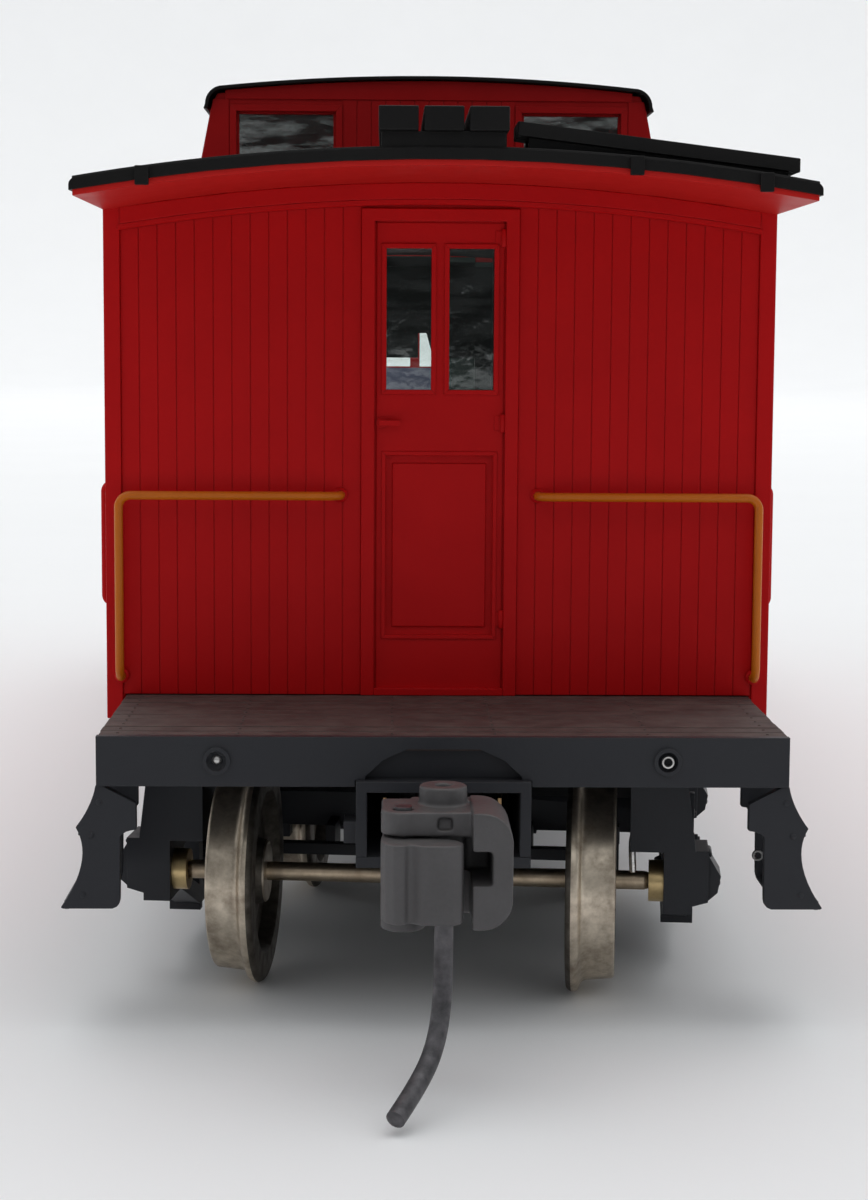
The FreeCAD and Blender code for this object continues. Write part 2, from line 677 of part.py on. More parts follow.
def make_brake_cylinder():
    """Air-brake cylinder with an end flange, and the reservoir on the other side."""
    y = 3.0
    axis_z = 9.7
    barrel = Part.makeCylinder(1.9, 6.0, Vector(6.2, y - 3.0, axis_z), Y_AXIS)
    flange = Part.makeCylinder(2.2, 0.5, Vector(6.2, y - 3.0, axis_z), Y_AXIS)
    nose = Part.makeCylinder(0.7, 1.6, Vector(6.2, y - 4.6, axis_z), Y_AXIS)
    foot = block(5.2, 7.2, y - 2.6, y + 2.6, 11.0, FLOOR_LOW_Z)
    tank = Part.makeCylinder(1.7, 9.0, Vector(-7.0, y - 5.5, axis_z), Y_AXIS)
    tank_foot = block(-7.8, -6.2, y - 4.5, y + 2.5, 11.0, FLOOR_LOW_Z)
    return [fused([barrel, flange, nose, foot]), fused([tank, tank_foot])]


def make_brake_rigging():
    """Brake levers and pull rods under the floor."""
    lever_z = 9.5
    lever = block(3.0, 7.0, -2.95, -2.25, lever_z - 0.17, lever_z + 0.17)
    rods = []
    for y0, y1, x in ((-34.0, -2.4, 3.5), (-2.8, 34.0, 3.3)):
        rods.append(Part.makeCylinder(0.22, y1 - y0, Vector(x, y0, lever_z), Y_AXIS))
    pipe = Part.makeCylinder(0.3, 100.0, Vector(-3.6, -50.0, lever_z), Y_AXIS)
    return [fused([lever] + rods), pipe]


def make_frame_screws():
    """Truck pivot screws and the screws that hold the coupler boxes."""
    shaft = upright(0, -TRUCK_Y, 6.1, 11.2, PIVOT_PIN_R)
    head = upright(0, -TRUCK_Y, 5.98, 6.78, 1.75)
    slot = block(-2, 2, -TRUCK_Y - 0.2, -TRUCK_Y + 0.2, 5.0, 6.25)
    pivot = fused([shaft, head]).cut(slot)
    small_y = -SHANK_PIVOT_Y
    small_shaft = upright(0, small_y, BOX_LOW_Z - 0.45, FLOOR_LOW_Z, 0.7)
    small_head = upright(0, small_y, BOX_LOW_Z - 0.5, BOX_LOW_Z, 1.3)
    small = fused([small_shaft, small_head])
    small = small.cut(block(-2, 2, small_y - 0.17, small_y + 0.17, 5.0, BOX_LOW_Z - 0.22))
    return both_ends([pivot, small])


# ---------------------------------------------------------------- couplers

def make_draft_boxes():
    """Open-fronted boxes that the coupler shanks swing in."""
    front = -BOX_FRONT_Y
    box_solid = block(-BOX_HALF, BOX_HALF, front, -BOX_BACK_Y, BOX_LOW_Z + BOX_WALL, BOX_HIGH_Z)
    inside = block(-BOX_HALF + BOX_WALL, BOX_HALF - BOX_WALL, front - 1, -BOX_BACK_Y - BOX_WALL,
                   BOX_LOW_Z, BOX_HIGH_Z - BOX_WALL)
    hole = upright(0, -SHANK_PIVOT_Y, 5, 15, 0.72)
    post = upright(0, -SHANK_PIVOT_Y, BOX_LOW_Z + BOX_WALL, BOX_HIGH_Z - BOX_WALL + 0.1, 1.15)
    ear = block(-4.45, -BOX_HALF + 0.1, front + 0.3, front + 2.0, 8.6, 9.6)
    top = block(-2.4, 2.4, front + 3.0, -BOX_BACK_Y, BOX_HIGH_Z - 0.05, FLOOR_LOW_Z)
    return both_ends([fused([box_solid.cut(inside), post, ear, top]).cut(hole)])


def make_draft_box_lids():
    """Flat lids under the coupler boxes."""
    lid = block(-BOX_HALF, BOX_HALF, -BOX_FRONT_Y, -BOX_BACK_Y, BOX_LOW_Z, BOX_LOW_Z + BOX_WALL)
    return both_ends([lid.cut(upright(0, -SHANK_PIVOT_Y, 5, 15, 0.72))])


def make_centering_springs():
    """Sprung strips on each side of the shank that bring the coupler back to the middle."""
    strips = []
    for side in (-1, 1):
        outline = [(side * 3.3, -56.0), (side * 3.05, -56.0), (side * 2.75, -59.0), (side * 2.55, -62.6),
                   (side * 2.7, -62.6), (side * 2.95, -59.0)]
        strips.append(plate_xy(outline, 8.9, 10.2))
    return both_ends(strips)


def rounded_arm(x0, x1, y0, y1, z0, z1, corner):
    """A block whose outer upper and lower edges are rounded, as the guard arm's are."""
    arm = block(x0, x1, y0, y1, z0, z1)
    edges = []
    for edge in arm.Edges:
        centre = edge.CenterOfMass
        if abs(centre.x - x1) < 0.001 and abs(centre.y - (y0 + y1) / 2) < 0.001:
            edges.append(edge)
    return arm.makeFillet(corner, edges)


def make_coupler_head():
    """Shank, head and guard arm of the near coupler, cast in one."""
    pivot_y = -SHANK_PIVOT_Y
    low = COUPLER_Z - SHANK_HIGH
    high = COUPLER_Z + SHANK_HIGH
    eye = upright(0, pivot_y, low, high, 1.95)
    shank = block(-SHANK_HALF, SHANK_HALF, -70.9, pivot_y, low, high)
    neck = plate_xy([(-1.1, -69.2), (1.1, -69.2), (1.9, -70.9), (-1.9, -70.9)], low - 0.3, high + 0.3)
    body = block(-1.5, 1.9, -72.0, -70.6, 7.15, 11.85)
    web = block(-2.7, -1.4, -72.0, -70.6, 7.35, 11.75)
    guard = rounded_arm(0.95, 2.6, -75.0, -71.0, 7.15, 12.0, 1.25)
    upper_lug = fused([upright(KNUCKLE_X, KNUCKLE_Y, 10.85, 11.85, 0.92),
                       block(-2.75, 1.0, -73.3, -71.0, 10.85, 11.85),
                       block(-1.9, 1.0, -74.05, -73.2, 10.85, 11.85)])
    lower_lug = fused([upright(KNUCKLE_X, KNUCKLE_Y, 6.85, 7.35, 0.92),
                       block(-2.75, -1.0, -73.2, -70.8, 6.85, 7.35)])
    boss = upright(-0.2, -72.1, 11.8, 12.65, 1.0)
    head = fused([eye, shank, neck, body, web, guard, upper_lug, lower_lug, boss])
    head = head.cut(block(0.7, 1.75, -76, -71.6, 9.0, 10.4))
    head = head.cut(upright(-0.2, -72.1, 12.1, 13, 0.33))
    head = head.cut(block(-0.45, 0.15, -75, -73.75, 11.1, 11.6))
    head = head.cut(upright(0, pivot_y, 0, 20, 1.22))
    return head.cut(upright(KNUCKLE_X, KNUCKLE_Y, 6, 13, 0.42))


def make_knuckle():
    """The hooked jaw that opens on its pin."""
    low = KNUCKLE_LOW_Z
    high = KNUCKLE_HIGH_Z
    barrel = upright(KNUCKLE_X, KNUCKLE_Y, low, high, 0.9)
    jaw_points = [(-2.75, -73.2), (-2.78, -74.3), (-2.6, -74.95), (-2.2, -75.33), (-1.85, -75.3),
                  (-1.6, -75.05), (-1.4, -75.15), (-1.1, -75.4), (0.2, -75.4), (0.52, -75.2),
                  (0.6, -74.7), (0.35, -74.15), (-0.3, -73.75), (-0.95, -73.3), (-1.0, -73.0)]
    jaw = plate_xy(jaw_points, low, high)
    knuckle = fused([barrel, jaw])
    knuckle = knuckle.cut(upright(KNUCKLE_X, KNUCKLE_Y, 5, 13, 0.42))
    return knuckle.cut(upright(-0.2, -74.6, 5, 9.4, TRIP_PIN_R))


def make_knuckle_pin():
    """The hinge pin through the head's lugs and the knuckle."""
    return upright(KNUCKLE_X, KNUCKLE_Y, 6.8, 11.95, 0.36)


def make_knuckle_spring():
    """The small coil that closes the knuckle."""
    coil = Part.makeHelix(0.24, 1.4, 0.3)
    section = Part.Wire([Part.makeCircle(0.07, Vector(0.3, 0, 0), Y_AXIS)])
    spring = Part.Wire(coil.Edges).makePipeShell([section], True, True)
    spring.translate(Vector(0.1, -72.55, 8.3))
    return spring


def make_trip_pin():
    """The curved iron pin under the knuckle: straight down, then forward and to one side."""
    route = [(-0.2, -74.6, 9.35), (-0.2, -74.6, 4.6), (-0.75, -76.1, 2.3), (-2.15, -79.0, 0.62)]
    return bent_rod(route, TRIP_PIN_R, 3.4)


# ---------------------------------------------------------------- trucks, built about their own pivot

def spring_group(x, y):
    """One coil spring seat-to-seat, drawn as a stack of turns."""
    low = 3.0
    turns = 5
    pitch = (BOLSTER_LOW_Z - low) / turns
    outline = [Vector(x, y, low)]
    for turn in range(turns):
        z = low + turn * pitch
        outline += [Vector(x + 0.55, y, z), Vector(x + 0.85, y, z + pitch / 2)]
    outline += [Vector(x + 0.55, y, BOLSTER_LOW_Z), Vector(x, y, BOLSTER_LOW_Z)]
    face = Part.Face(Part.makePolygon(outline + outline[:1]))
    return face.revolve(Vector(x, y, 0), Z_AXIS, 360)


def make_sideframe():
    """The right-hand sideframe: a top beam, arched bars, journal boxes and a sprung bolster opening."""
    end = WHEELBASE / 2 + JOURNAL_HALF
    inner_end = WHEELBASE / 2 - JOURNAL_HALF
    outline = [(-end, JOURNAL_LOW_Z), (-end, JOURNAL_HIGH_Z), (-inner_end, JOURNAL_HIGH_Z),
               (-3.9, 8.1), (3.9, 8.1), (inner_end, JOURNAL_HIGH_Z), (end, JOURNAL_HIGH_Z),
               (end, JOURNAL_LOW_Z), (inner_end, JOURNAL_LOW_Z), (3.4, 2.0), (-3.4, 2.0),
               (-inner_end, JOURNAL_LOW_Z)]
    frame = plate_yz(outline, FRAME_INNER_X, FRAME_INNER_X + FRAME_THICK)
    for side in (-1, 1):
        window = [(side * 7.9, 4.6), (side * 7.9, 5.9), (side * 3.7, 7.1), (side * 3.7, 3.1)]
        frame = frame.cut(plate_yz(window, 10, 20))
    frame = frame.cut(block(10, 20, -2.7, 2.7, 3.0, 7.2))
    wheel_piece = [(10.2, JOURNAL_HIGH_Z - 0.1), (13.3, JOURNAL_HIGH_Z - 0.1), (12.9, WHEEL_PIECE_Z),
                   (10.2, WHEEL_PIECE_Z)]
    beam = plate_xz(wheel_piece, -end, end)
    beam = beam.cut(block(9.0, 14.0, -BOLSTER_HALF - 0.2, BOLSTER_HALF + 0.2, 6.0, BOLSTER_Z + 0.2))
    pieces = [frame, beam]
    box_x = JOURNAL_OUT_X - 0.6
    for side in (-1, 1):
        y = side * WHEELBASE / 2
        box = [(FRAME_INNER_X, JOURNAL_LOW_Z), (box_x, JOURNAL_LOW_Z + 0.6), (box_x, JOURNAL_HIGH_Z),
               (FRAME_INNER_X, JOURNAL_HIGH_Z)]
        pieces.append(plate_xz(box, y - JOURNAL_HALF, y + JOURNAL_HALF))
        lid = [(box_x, AXLE_Z - 0.7), (JOURNAL_OUT_X - 0.15, AXLE_Z - 0.3), (JOURNAL_OUT_X, AXLE_Z + 0.5),
               (box_x, AXLE_Z + 1.5)]
        pieces.append(plate_xz(lid, y - 1.05, y + 1.05))
        bar_y = side * 3.2
        pieces.append(block(FRAME_INNER_X, FRAME_INNER_X + 1.6, bar_y - 0.3, bar_y + 0.3, 1.7, 8.35))
        pieces.append(spring_group(FRAME_INNER_X + 0.65, side * 1.2))
    frame = fused(pieces)
    for side in (-1, 1):
        start = Vector(10, side * WHEELBASE / 2, AXLE_Z)
        frame = frame.cut(Part.makeCylinder(BEARING_R, BEARING_OUT_X - 10, start, X_AXIS))
    return frame


def make_truck_bolster():
    """The beam between the sideframes that carries the body."""
    beam = block(-FRAME_INNER_X, FRAME_INNER_X, -BOLSTER_HALF, BOLSTER_HALF, BOLSTER_LOW_Z, BOLSTER_Z)
    for side in (-1, 1):
        xs = sorted((side * 3.6, side * 11.4))
        beam = beam.cut(block(xs[0], xs[1], -5, 5, 7.7, 10))
        xs = sorted((side * FRAME_INNER_X, side * (FRAME_INNER_X + 1.2)))
        beam = fused([beam, block(xs[0], xs[1], -BOLSTER_HALF, BOLSTER_HALF, BOLSTER_LOW_Z, 7.1)])
    beam = beam.cut(upright(0, 0, 0, 20, PIVOT_HOLE_R))
    return beam.cut(upright(0, 0, 0, 6.88, 2.0))


def make_bearings():
    """Brass cups that the axle points turn in."""
    cups = []
    for side in (-1, 1):
        y = side * WHEELBASE / 2
        length = BEARING_OUT_X - BEARING_IN_X
        cup = Part.makeCylinder(BEARING_R - 0.01, length, Vector(BEARING_IN_X, y, AXLE_Z), X_AXIS)
        hollow = Part.makeCone(0.5, 0.05, 1.25, Vector(BEARING_IN_X, y, AXLE_Z), X_AXIS)
        cups.append(cup.cut(hollow))
    return both_sides(cups)


def make_brake_beams():
    """Brake beams inside the wheels, with a shoe by each tread."""
    beams = []
    shoe_x = BACK_TO_BACK / 2 + FLANGE_WIDTH + 0.95
    for end in (-1, 1):
        axle_y = end * WHEELBASE / 2
        ys = sorted((end * 3.55, end * 4.2))
        bar = block(-shoe_x, shoe_x, ys[0], ys[1], 4.9, 5.5)
        parts = [bar]
        for side in (-1, 1):
            x = side * shoe_x
            ys_shoe = sorted((end * 4.1, end * 6.4))
            shoe = block(x - 0.7, x + 0.7, ys_shoe[0], ys_shoe[1], 4.0, 6.9)
            clear = Part.makeCylinder(TREAD_R + 0.3, 3.0, Vector(x - 1.5, axle_y, AXLE_Z), X_AXIS)
            parts.append(shoe.cut(clear))
            ys_hang = sorted((end * BOLSTER_HALF, end * 3.9))
            parts.append(block(side * 5.0 - 0.25, side * 5.0 + 0.25, ys_hang[0], ys_hang[1], 5.0, 6.4))
        beams.append(fused(parts))
    return beams


def make_axle(y):
    """A needle-pointed axle."""
    shaft = Part.makeCylinder(AXLE_R, 2 * NEEDLE_X, Vector(-NEEDLE_X, y, AXLE_Z), X_AXIS)
    tip_length = AXLE_TIP_X - NEEDLE_X
    right = Part.makeCone(AXLE_R, 0.03, tip_length, Vector(NEEDLE_X, y, AXLE_Z), X_AXIS)
    left = Part.makeCone(AXLE_R, 0.03, tip_length, Vector(-NEEDLE_X, y, AXLE_Z), Vector(-1, 0, 0))
    return fused([shaft, right, left])


def make_wheels(y):
    """A pair of flanged wheels with dished faces."""
    inner = BACK_TO_BACK / 2
    outline = [(0.0, AXLE_R), (0.0, 1.5), (0.55, 1.7), (0.8, 3.6), (0.0, 3.9), (0.0, 4.9), (0.12, 5.22),
               (0.3, FLANGE_R), (0.48, 5.2), (FLANGE_WIDTH, TREAD_R + 0.1), (1.0, TREAD_R),
               (WHEEL_WIDTH - 0.15, TREAD_R - 0.08), (WHEEL_WIDTH, TREAD_R - 0.22), (WHEEL_WIDTH, 3.95),
               (1.7, 3.7), (1.4, 1.75), (WHEEL_WIDTH, 1.4), (WHEEL_WIDTH, AXLE_R)]
    right = turned_about_x(outline, inner, y, AXLE_Z)
    return both_sides([right])


def place_truck(shapes, y, turn):
    """Move pieces built about the truck's pivot to their place under the car."""
    placed = []
    for shape in shapes:
        copy = shape.copy()
        copy.rotate(ORIGIN, Z_AXIS, turn)
        copy.translate(Vector(0, y, 0))
        placed.append(copy)
    return placed


def save_truck(name, y, turn, first_wheelset):
    """Write one truck's pieces and its two wheelsets."""
    save(name + "_sideframes", place_truck(both_sides([make_sideframe()]), y, turn))
    save(name + "_bolster", place_truck([make_truck_bolster()], y, turn)[0])
    save(name + "_bearings", place_truck(make_bearings(), y, turn))
    save(name + "_brake_beams", place_truck(make_brake_beams(), y, turn))
    for index, side in enumerate((-1, 1)):
        wheelset = "wheelset_" + str(first_wheelset + index)
        axle_y = side * WHEELBASE / 2
        save(wheelset + "_axle", place_truck([make_axle(axle_y)], y, turn)[0])
        save(wheelset + "_wheels", place_truck(make_wheels(axle_y), y, turn))


# ---------------------------------------------------------------- write every piece

os.makedirs("parts", exist_ok=True)

save("body_shell", make_body_shell())
save("roof", make_roof())
save("canopy_soffits", make_canopy_soffits())
save("end_doors", make_end_doors())
save("door_glazing", make_door_glazing())
save("door_handles", make_door_handles())
save("window_frames", make_window_frames())
save("side_glazing", make_side_glazing())
save("cupola_shell", make_cupola_shell())
save("cupola_roof", make_cupola_roof())
save("cupola_glazing", make_cupola_glazing())
save("running_boards", make_running_boards())
save("running_board_saddles", make_running_board_saddles())
save("lateral_running_boards", make_lateral_running_boards())
save("roof_brackets", make_roof_brackets())
save("smoke_jack", make_smoke_jack())
save("end_grab_irons", make_end_grab_irons())
save("side_handrails", make_side_handrails())
save("underframe", make_underframe())
save("platform_decks", make_platform_decks())
save("end_sills", make_end_sills())
save("steps", make_steps())
save("centre_sill", make_centre_sill())
save("floor_framing", make_floor_framing())
save("body_bolsters", make_body_bolsters())
save("floor_weight", make_floor_weight())
save("interior_bulkheads", make_interior_bulkheads())
save("brake_cylinder", make_brake_cylinder())
save("brake_rigging", make_brake_rigging())
save("frame_screws", make_frame_screws())
save("draft_boxes", make_draft_boxes())
save("draft_box_lids", make_draft_box_lids())
save("centering_springs", make_centering_springs())

near_coupler = {
    "coupler_head": make_coupler_head(),
    "knuckle": make_knuckle(),
    "knuckle_pin": make_knuckle_pin(),
    "knuckle_spring": make_knuckle_spring(),
    "trip_pin": make_trip_pin(),
}
for piece, shape in near_coupler.items():
    save("near_" + piece, shape)
    save("far_" + piece, half_turned(shape))

save_truck("near_truck", -TRUCK_Y, NEAR_TRUCK_TURN, 1)
save_truck("far_truck", TRUCK_Y, 0.0, 3)
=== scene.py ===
import json
import math
import random

import bmesh
import bpy
from mathutils import Matrix, Vector


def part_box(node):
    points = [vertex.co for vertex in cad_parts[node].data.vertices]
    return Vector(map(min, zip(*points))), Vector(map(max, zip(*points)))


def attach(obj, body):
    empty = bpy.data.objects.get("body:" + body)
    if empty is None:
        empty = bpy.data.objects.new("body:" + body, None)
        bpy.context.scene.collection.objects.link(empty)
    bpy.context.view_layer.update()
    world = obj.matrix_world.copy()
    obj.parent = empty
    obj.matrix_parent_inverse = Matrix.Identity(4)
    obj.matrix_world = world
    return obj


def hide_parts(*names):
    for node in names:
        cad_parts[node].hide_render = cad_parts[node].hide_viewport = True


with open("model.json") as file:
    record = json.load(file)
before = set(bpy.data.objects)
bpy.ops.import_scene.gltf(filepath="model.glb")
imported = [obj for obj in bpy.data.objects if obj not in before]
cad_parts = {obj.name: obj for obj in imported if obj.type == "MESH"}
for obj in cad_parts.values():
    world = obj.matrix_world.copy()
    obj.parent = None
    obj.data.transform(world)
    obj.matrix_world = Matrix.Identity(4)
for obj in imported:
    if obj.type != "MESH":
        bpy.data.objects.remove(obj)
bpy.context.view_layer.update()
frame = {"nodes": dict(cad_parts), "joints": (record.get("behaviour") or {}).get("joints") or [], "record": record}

# Shapes are worked out in millimetres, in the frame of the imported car, and made in metres.
MM = 0.001
HALF_TURN = Matrix.Rotation(math.pi, 4, "Z")
NEAR = -1
FAR = 1
END_NAMES = {NEAR: "near", FAR: "far"}
SIDES = (-1, 1)
SHARP_ANGLE = math.radians(38)


def corners(node):
    """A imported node's lowest and highest corners, in millimetres."""
    low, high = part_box(node)
    return low / MM, high / MM


# ---- sizes taken from the frame

SHELL_HIGH = corners("body_shell")[1]
CORNER_BOARD = 0.8
WALL_FACE_X = SHELL_HIGH.x - 0.3
WALL_FACE_Y = SHELL_HIGH.y - 0.25
TRIM_FACE_Y = SHELL_HIGH.y
INSIDE_X = WALL_FACE_X - 1.0
INSIDE_Y = WALL_FACE_Y - 1.0
BOARD_AREA_X = SHELL_HIGH.x - CORNER_BOARD
BOARD_AREA_Y = WALL_FACE_Y + 0.2 - CORNER_BOARD
DECK_LOW, DECK_HIGH = corners("platform_decks")
DECK_TOP = DECK_HIGH.z
ROOF_HIGH = corners("roof")[1]
ROOF_R = 95.0
ROOF_CROWN = ROOF_HIGH.z
CUPOLA_END = corners("cupola_shell")[1].y
CUPOLA_EAVE_Z = 45.6
CUPOLA_TOP_HALF = 13.75
CUPOLA_LEAN = 1.25 / 6.3
CUPOLA_ROOF_HIGH = corners("cupola_roof")[1]
CUPOLA_COVER = 0.22
CUPOLA_CROWN = CUPOLA_ROOF_HIGH.z - CUPOLA_COVER
CUPOLA_ROOF_R = 125.0
FRAME_LOW, FRAME_HIGH = corners("window_frames")
PANE_LOW, PANE_HIGH = corners("door_glazing")
SURROUND_HALF = 3.85
DOOR_HALF = 3.2
DOOR_TOP_Z = 36.7
DOOR_FACE_Y = corners("end_doors")[1].y
SILL_LOW, SILL_HIGH = corners("end_sills")
SILL_HALF = SILL_HIGH.x
STEP_LOW, STEP_HIGH = corners("steps")


def roof_z(x, depth=0.0):
    """Height of the main roof, or of a surface at a depth under it."""
    return ROOF_CROWN - ROOF_R + math.sqrt((ROOF_R - depth) ** 2 - x * x)


def cupola_half(z):
    """Half width of the cupola at a height."""
    return CUPOLA_TOP_HALF + (CUPOLA_EAVE_Z - z) * CUPOLA_LEAN


# ---- node groups for finishes

def put(tree, kind, inputs=None, **settings):
    """Add a shader node, set it up and join its inputs to values or to other nodes' outputs."""
    made = tree.nodes.new("ShaderNode" + kind)
    for name, value in settings.items():
        setattr(made, name, value)
    for name, value in (inputs or {}).items():
        join(tree, made.inputs[name], value)
    return made


def join(tree, socket, value):
    """Feed a socket from another socket, or set its own value."""
    if isinstance(value, bpy.types.NodeSocket):
        tree.links.new(value, socket)
    else:
        socket.default_value = value


def maths(tree, operation, first, second=0.0, third=0.0, clamp=False):
    """One step of arithmetic on node values."""
    values = {0: first, 1: second, 2: third}
    return put(tree, "Math", values, operation=operation, use_clamp=clamp).outputs[0]


def blended(tree, share, first, second):
    """A mix of two colours."""
    mix = put(tree, "Mix", data_type="RGBA")
    join(tree, mix.inputs["Factor"], share)
    join(tree, mix.inputs["A"], first)
    join(tree, mix.inputs["B"], second)
    return mix.outputs["Result"]


def ranged(tree, value, low, high, out_low=0.0, out_high=1.0):
    """A value stretched from one range to another, and held inside it."""
    inputs = {"Value": value, "From Min": low, "From Max": high, "To Min": out_low, "To Max": out_high}
    return put(tree, "MapRange", inputs).outputs["Result"]


def group_tree(name, inputs, outputs):
    """An empty node group with named sockets; inputs are (name, kind, usual value)."""
    tree = bpy.data.node_groups.new(name, "ShaderNodeTree")
    for label, kind, usual in inputs:
        socket = tree.interface.new_socket(label, in_out="INPUT", socket_type="NodeSocket" + kind)
        socket.default_value = usual
    for label, kind in outputs:
        tree.interface.new_socket(label, in_out="OUTPUT", socket_type="NodeSocket" + kind)
    entry = tree.nodes.new("NodeGroupInput")
    leaving = tree.nodes.new("NodeGroupOutput")
    return tree, entry.outputs, leaving.inputs


def noise_at(tree, spot, per_mm, detail, roughness=0.5, distortion=0.0):
    """Noise from 0 to 1 at a place."""
    inputs = {"Vector": spot, "Scale": per_mm, "Detail": detail, "Roughness": roughness}
    inputs["Distortion"] = distortion
    return put(tree, "TexNoise", inputs).outputs["Fac"]


def place_in_mm(tree, stretch=(1, 1, 1)):
    """The surface's own coordinates in millimetres, stretched by a vector."""
    spot = put(tree, "TexCoord").outputs["Object"]
    scaled = put(tree, "VectorMath", {0: spot, 1: (1 / MM,) * 3}, operation="MULTIPLY")
    return put(tree, "VectorMath", {0: scaled.outputs[0], 1: stretch}, operation="MULTIPLY").outputs[0]


def build_mottle():
    """Soft patches, as in paint laid over moulding: a mask from 0 to 1."""
    inputs = [("Per mm", "Float", 1.0), ("Stretch", "Vector", (1, 1, 1)), ("Hardness", "Float", 0.5)]
    tree, given, result = group_tree("Mottle", inputs, [("Mask", "Float")])
    spot = place_in_mm(tree, given["Stretch"])
    noise = noise_at(tree, spot, given["Per mm"], 4.0, 0.6)
    reach = maths(tree, "MULTIPLY_ADD", given["Hardness"], -0.3, 0.32)
    low = maths(tree, "SUBTRACT", 0.5, reach)
    high = maths(tree, "ADD", 0.5, reach)
    join(tree, result["Mask"], ranged(tree, noise, low, high))
    return tree


def build_edge_wear_and_sheen():
    """A mask that is 1 on outer edges, broken up as handling breaks it; in the red paints the paler colour it lays
    is also a painted highlight of the gloss.
    """
    inputs = [("Reach", "Float", 0.08 * MM), ("Breakup per mm", "Float", 3.0)]
    tree, given, result = group_tree("Edge wear and sheen", inputs, [("Mask", "Float")])
    rounded = put(tree, "Bevel", {"Radius": given["Reach"]}, samples=6)
    flat = put(tree, "NewGeometry").outputs["Normal"]
    alike = put(tree, "VectorMath", {0: rounded.outputs[0], 1: flat}, operation="DOT_PRODUCT")
    edge = ranged(tree, alike.outputs["Value"], 0.985, 0.86)
    noise = noise_at(tree, place_in_mm(tree), given["Breakup per mm"], 3.0)
    broken = ranged(tree, noise, 0.38, 0.62)
    join(tree, result["Mask"], maths(tree, "MULTIPLY", edge, broken, clamp=True))
    return tree


def build_settled_dust():
    """A mask of dust that lies on what faces up."""
    tree, given, result = group_tree("Settled dust", [("Per mm", "Float", 1.6)], [("Mask", "Float")])
    upward = put(tree, "SeparateXYZ", {0: put(tree, "NewGeometry").outputs["Normal"]}).outputs["Z"]
    facing = ranged(tree, upward, 0.25, 1.0)
    noise = noise_at(tree, place_in_mm(tree), given["Per mm"], 6.0, 0.7)
    patchy = ranged(tree, noise, 0.36, 0.66)
    join(tree, result["Mask"], maths(tree, "MULTIPLY", facing, patchy, clamp=True))
    return tree


def build_fine_grain():
    """The height of a sprayed or cast surface's fine grain."""
    tree, given, result = group_tree("Fine grain", [("Per mm", "Float", 9.0)], [("Height", "Float")])
    join(tree, result["Height"], noise_at(tree, place_in_mm(tree), given["Per mm"], 3.0, 0.65))
    return tree


def build_wood_fibre():
    """Long fibres with darker streaks, and a tone of its own for each board."""
    inputs = [("Stretch", "Vector", (0.12, 1.0, 1.0)), ("Per mm", "Float", 3.2)]
    outputs = [("Streaks", "Float"), ("Height", "Float"), ("Board tone", "Float")]
    tree, given, result = group_tree("Wood fibre", inputs, outputs)
    tone = put(tree, "NewGeometry").outputs["Random Per Island"]
    along = maths(tree, "MULTIPLY", tone, 37.0)
    upwards = maths(tree, "MULTIPLY", tone, 11.0)
    shift = put(tree, "CombineXYZ", {0: along, 1: 0.0, 2: upwards})
    spot = place_in_mm(tree, given["Stretch"])
    moved = put(tree, "VectorMath", {0: spot, 1: shift.outputs[0]}, operation="ADD").outputs[0]
    broad = noise_at(tree, moved, given["Per mm"], 5.0, distortion=0.6)
    fine = noise_at(tree, moved, maths(tree, "MULTIPLY", given["Per mm"], 3.4), 4.0)
    both = maths(tree, "MULTIPLY_ADD", fine, 0.45, maths(tree, "MULTIPLY", broad, 0.55))
    join(tree, result["Streaks"], ranged(tree, both, 0.38, 0.63))
    join(tree, result["Height"], both)
    join(tree, result["Board tone"], tone)
    return tree


def build_turning_marks():
    """Fine rings left by a lathe, about the piece's own X axis."""
    outputs = [("Height", "Float"), ("Tone", "Float")]
    tree, given, result = group_tree("Turning marks", [("Per mm", "Float", 14.0)], outputs)
    spot = place_in_mm(tree)
    parts = put(tree, "SeparateXYZ", {0: spot})
    across = put(tree, "CombineXYZ", {0: 0.0, 1: parts.outputs["Y"], 2: parts.outputs["Z"]})
    radius = put(tree, "VectorMath", {0: across.outputs[0]}, operation="LENGTH").outputs["Value"]
    ring = put(tree, "CombineXYZ", {0: parts.outputs["X"], 1: radius, 2: 0.0})
    patches = noise_at(tree, spot, 0.9, 5.0, 0.65)
    join(tree, result["Height"], noise_at(tree, ring.outputs[0], given["Per mm"], 2.0))
    join(tree, result["Tone"], ranged(tree, patches, 0.35, 0.68))
    return tree


MOTTLE = build_mottle()
EDGE_WEAR_AND_SHEEN = build_edge_wear_and_sheen()
SETTLED_DUST = build_settled_dust()
FINE_GRAIN = build_fine_grain()
WOOD_FIBRE = build_wood_fibre()
TURNING_MARKS = build_turning_marks()


def effect(tree, group, **inputs):
    """Place one of the shared effects in a material; underscores in input names stand for spaces."""
    made = tree.nodes.new("ShaderNodeGroup")
    made.node_tree = group
    for name, value in inputs.items():
        join(tree, made.inputs[name.replace("_", " ")], value)
    return made.outputs


# ---- finishes

def new_finish(name):
    """An empty material and its node tree."""
    material = bpy.data.materials.new(name)
    material.use_nodes = True
    material.node_tree.nodes.clear()
    return material, material.node_tree


def shown(tree, shader):
    """Send a shader to the material's output."""
    put(tree, "OutputMaterial", {"Surface": shader.outputs[0]})


def surfaced(tree, colour, roughness, normal, metallic=0.0, gloss=0.5):
    """A solid surface, sent to the material's output."""
    inputs = {"Base Color": colour, "Roughness": roughness, "Normal": normal, "Metallic": metallic}
    inputs["Specular IOR Level"] = gloss
    shown(tree, put(tree, "BsdfPrincipled", inputs))


def bumped(tree, height, depth_mm, under=None):
    """A normal raised by a height, depth_mm deep."""
    inputs = {"Height": height, "Strength": 1.0, "Distance": depth_mm * MM}
    if under is not None:
        inputs["Normal"] = under
    return put(tree, "Bump", inputs).outputs["Normal"]


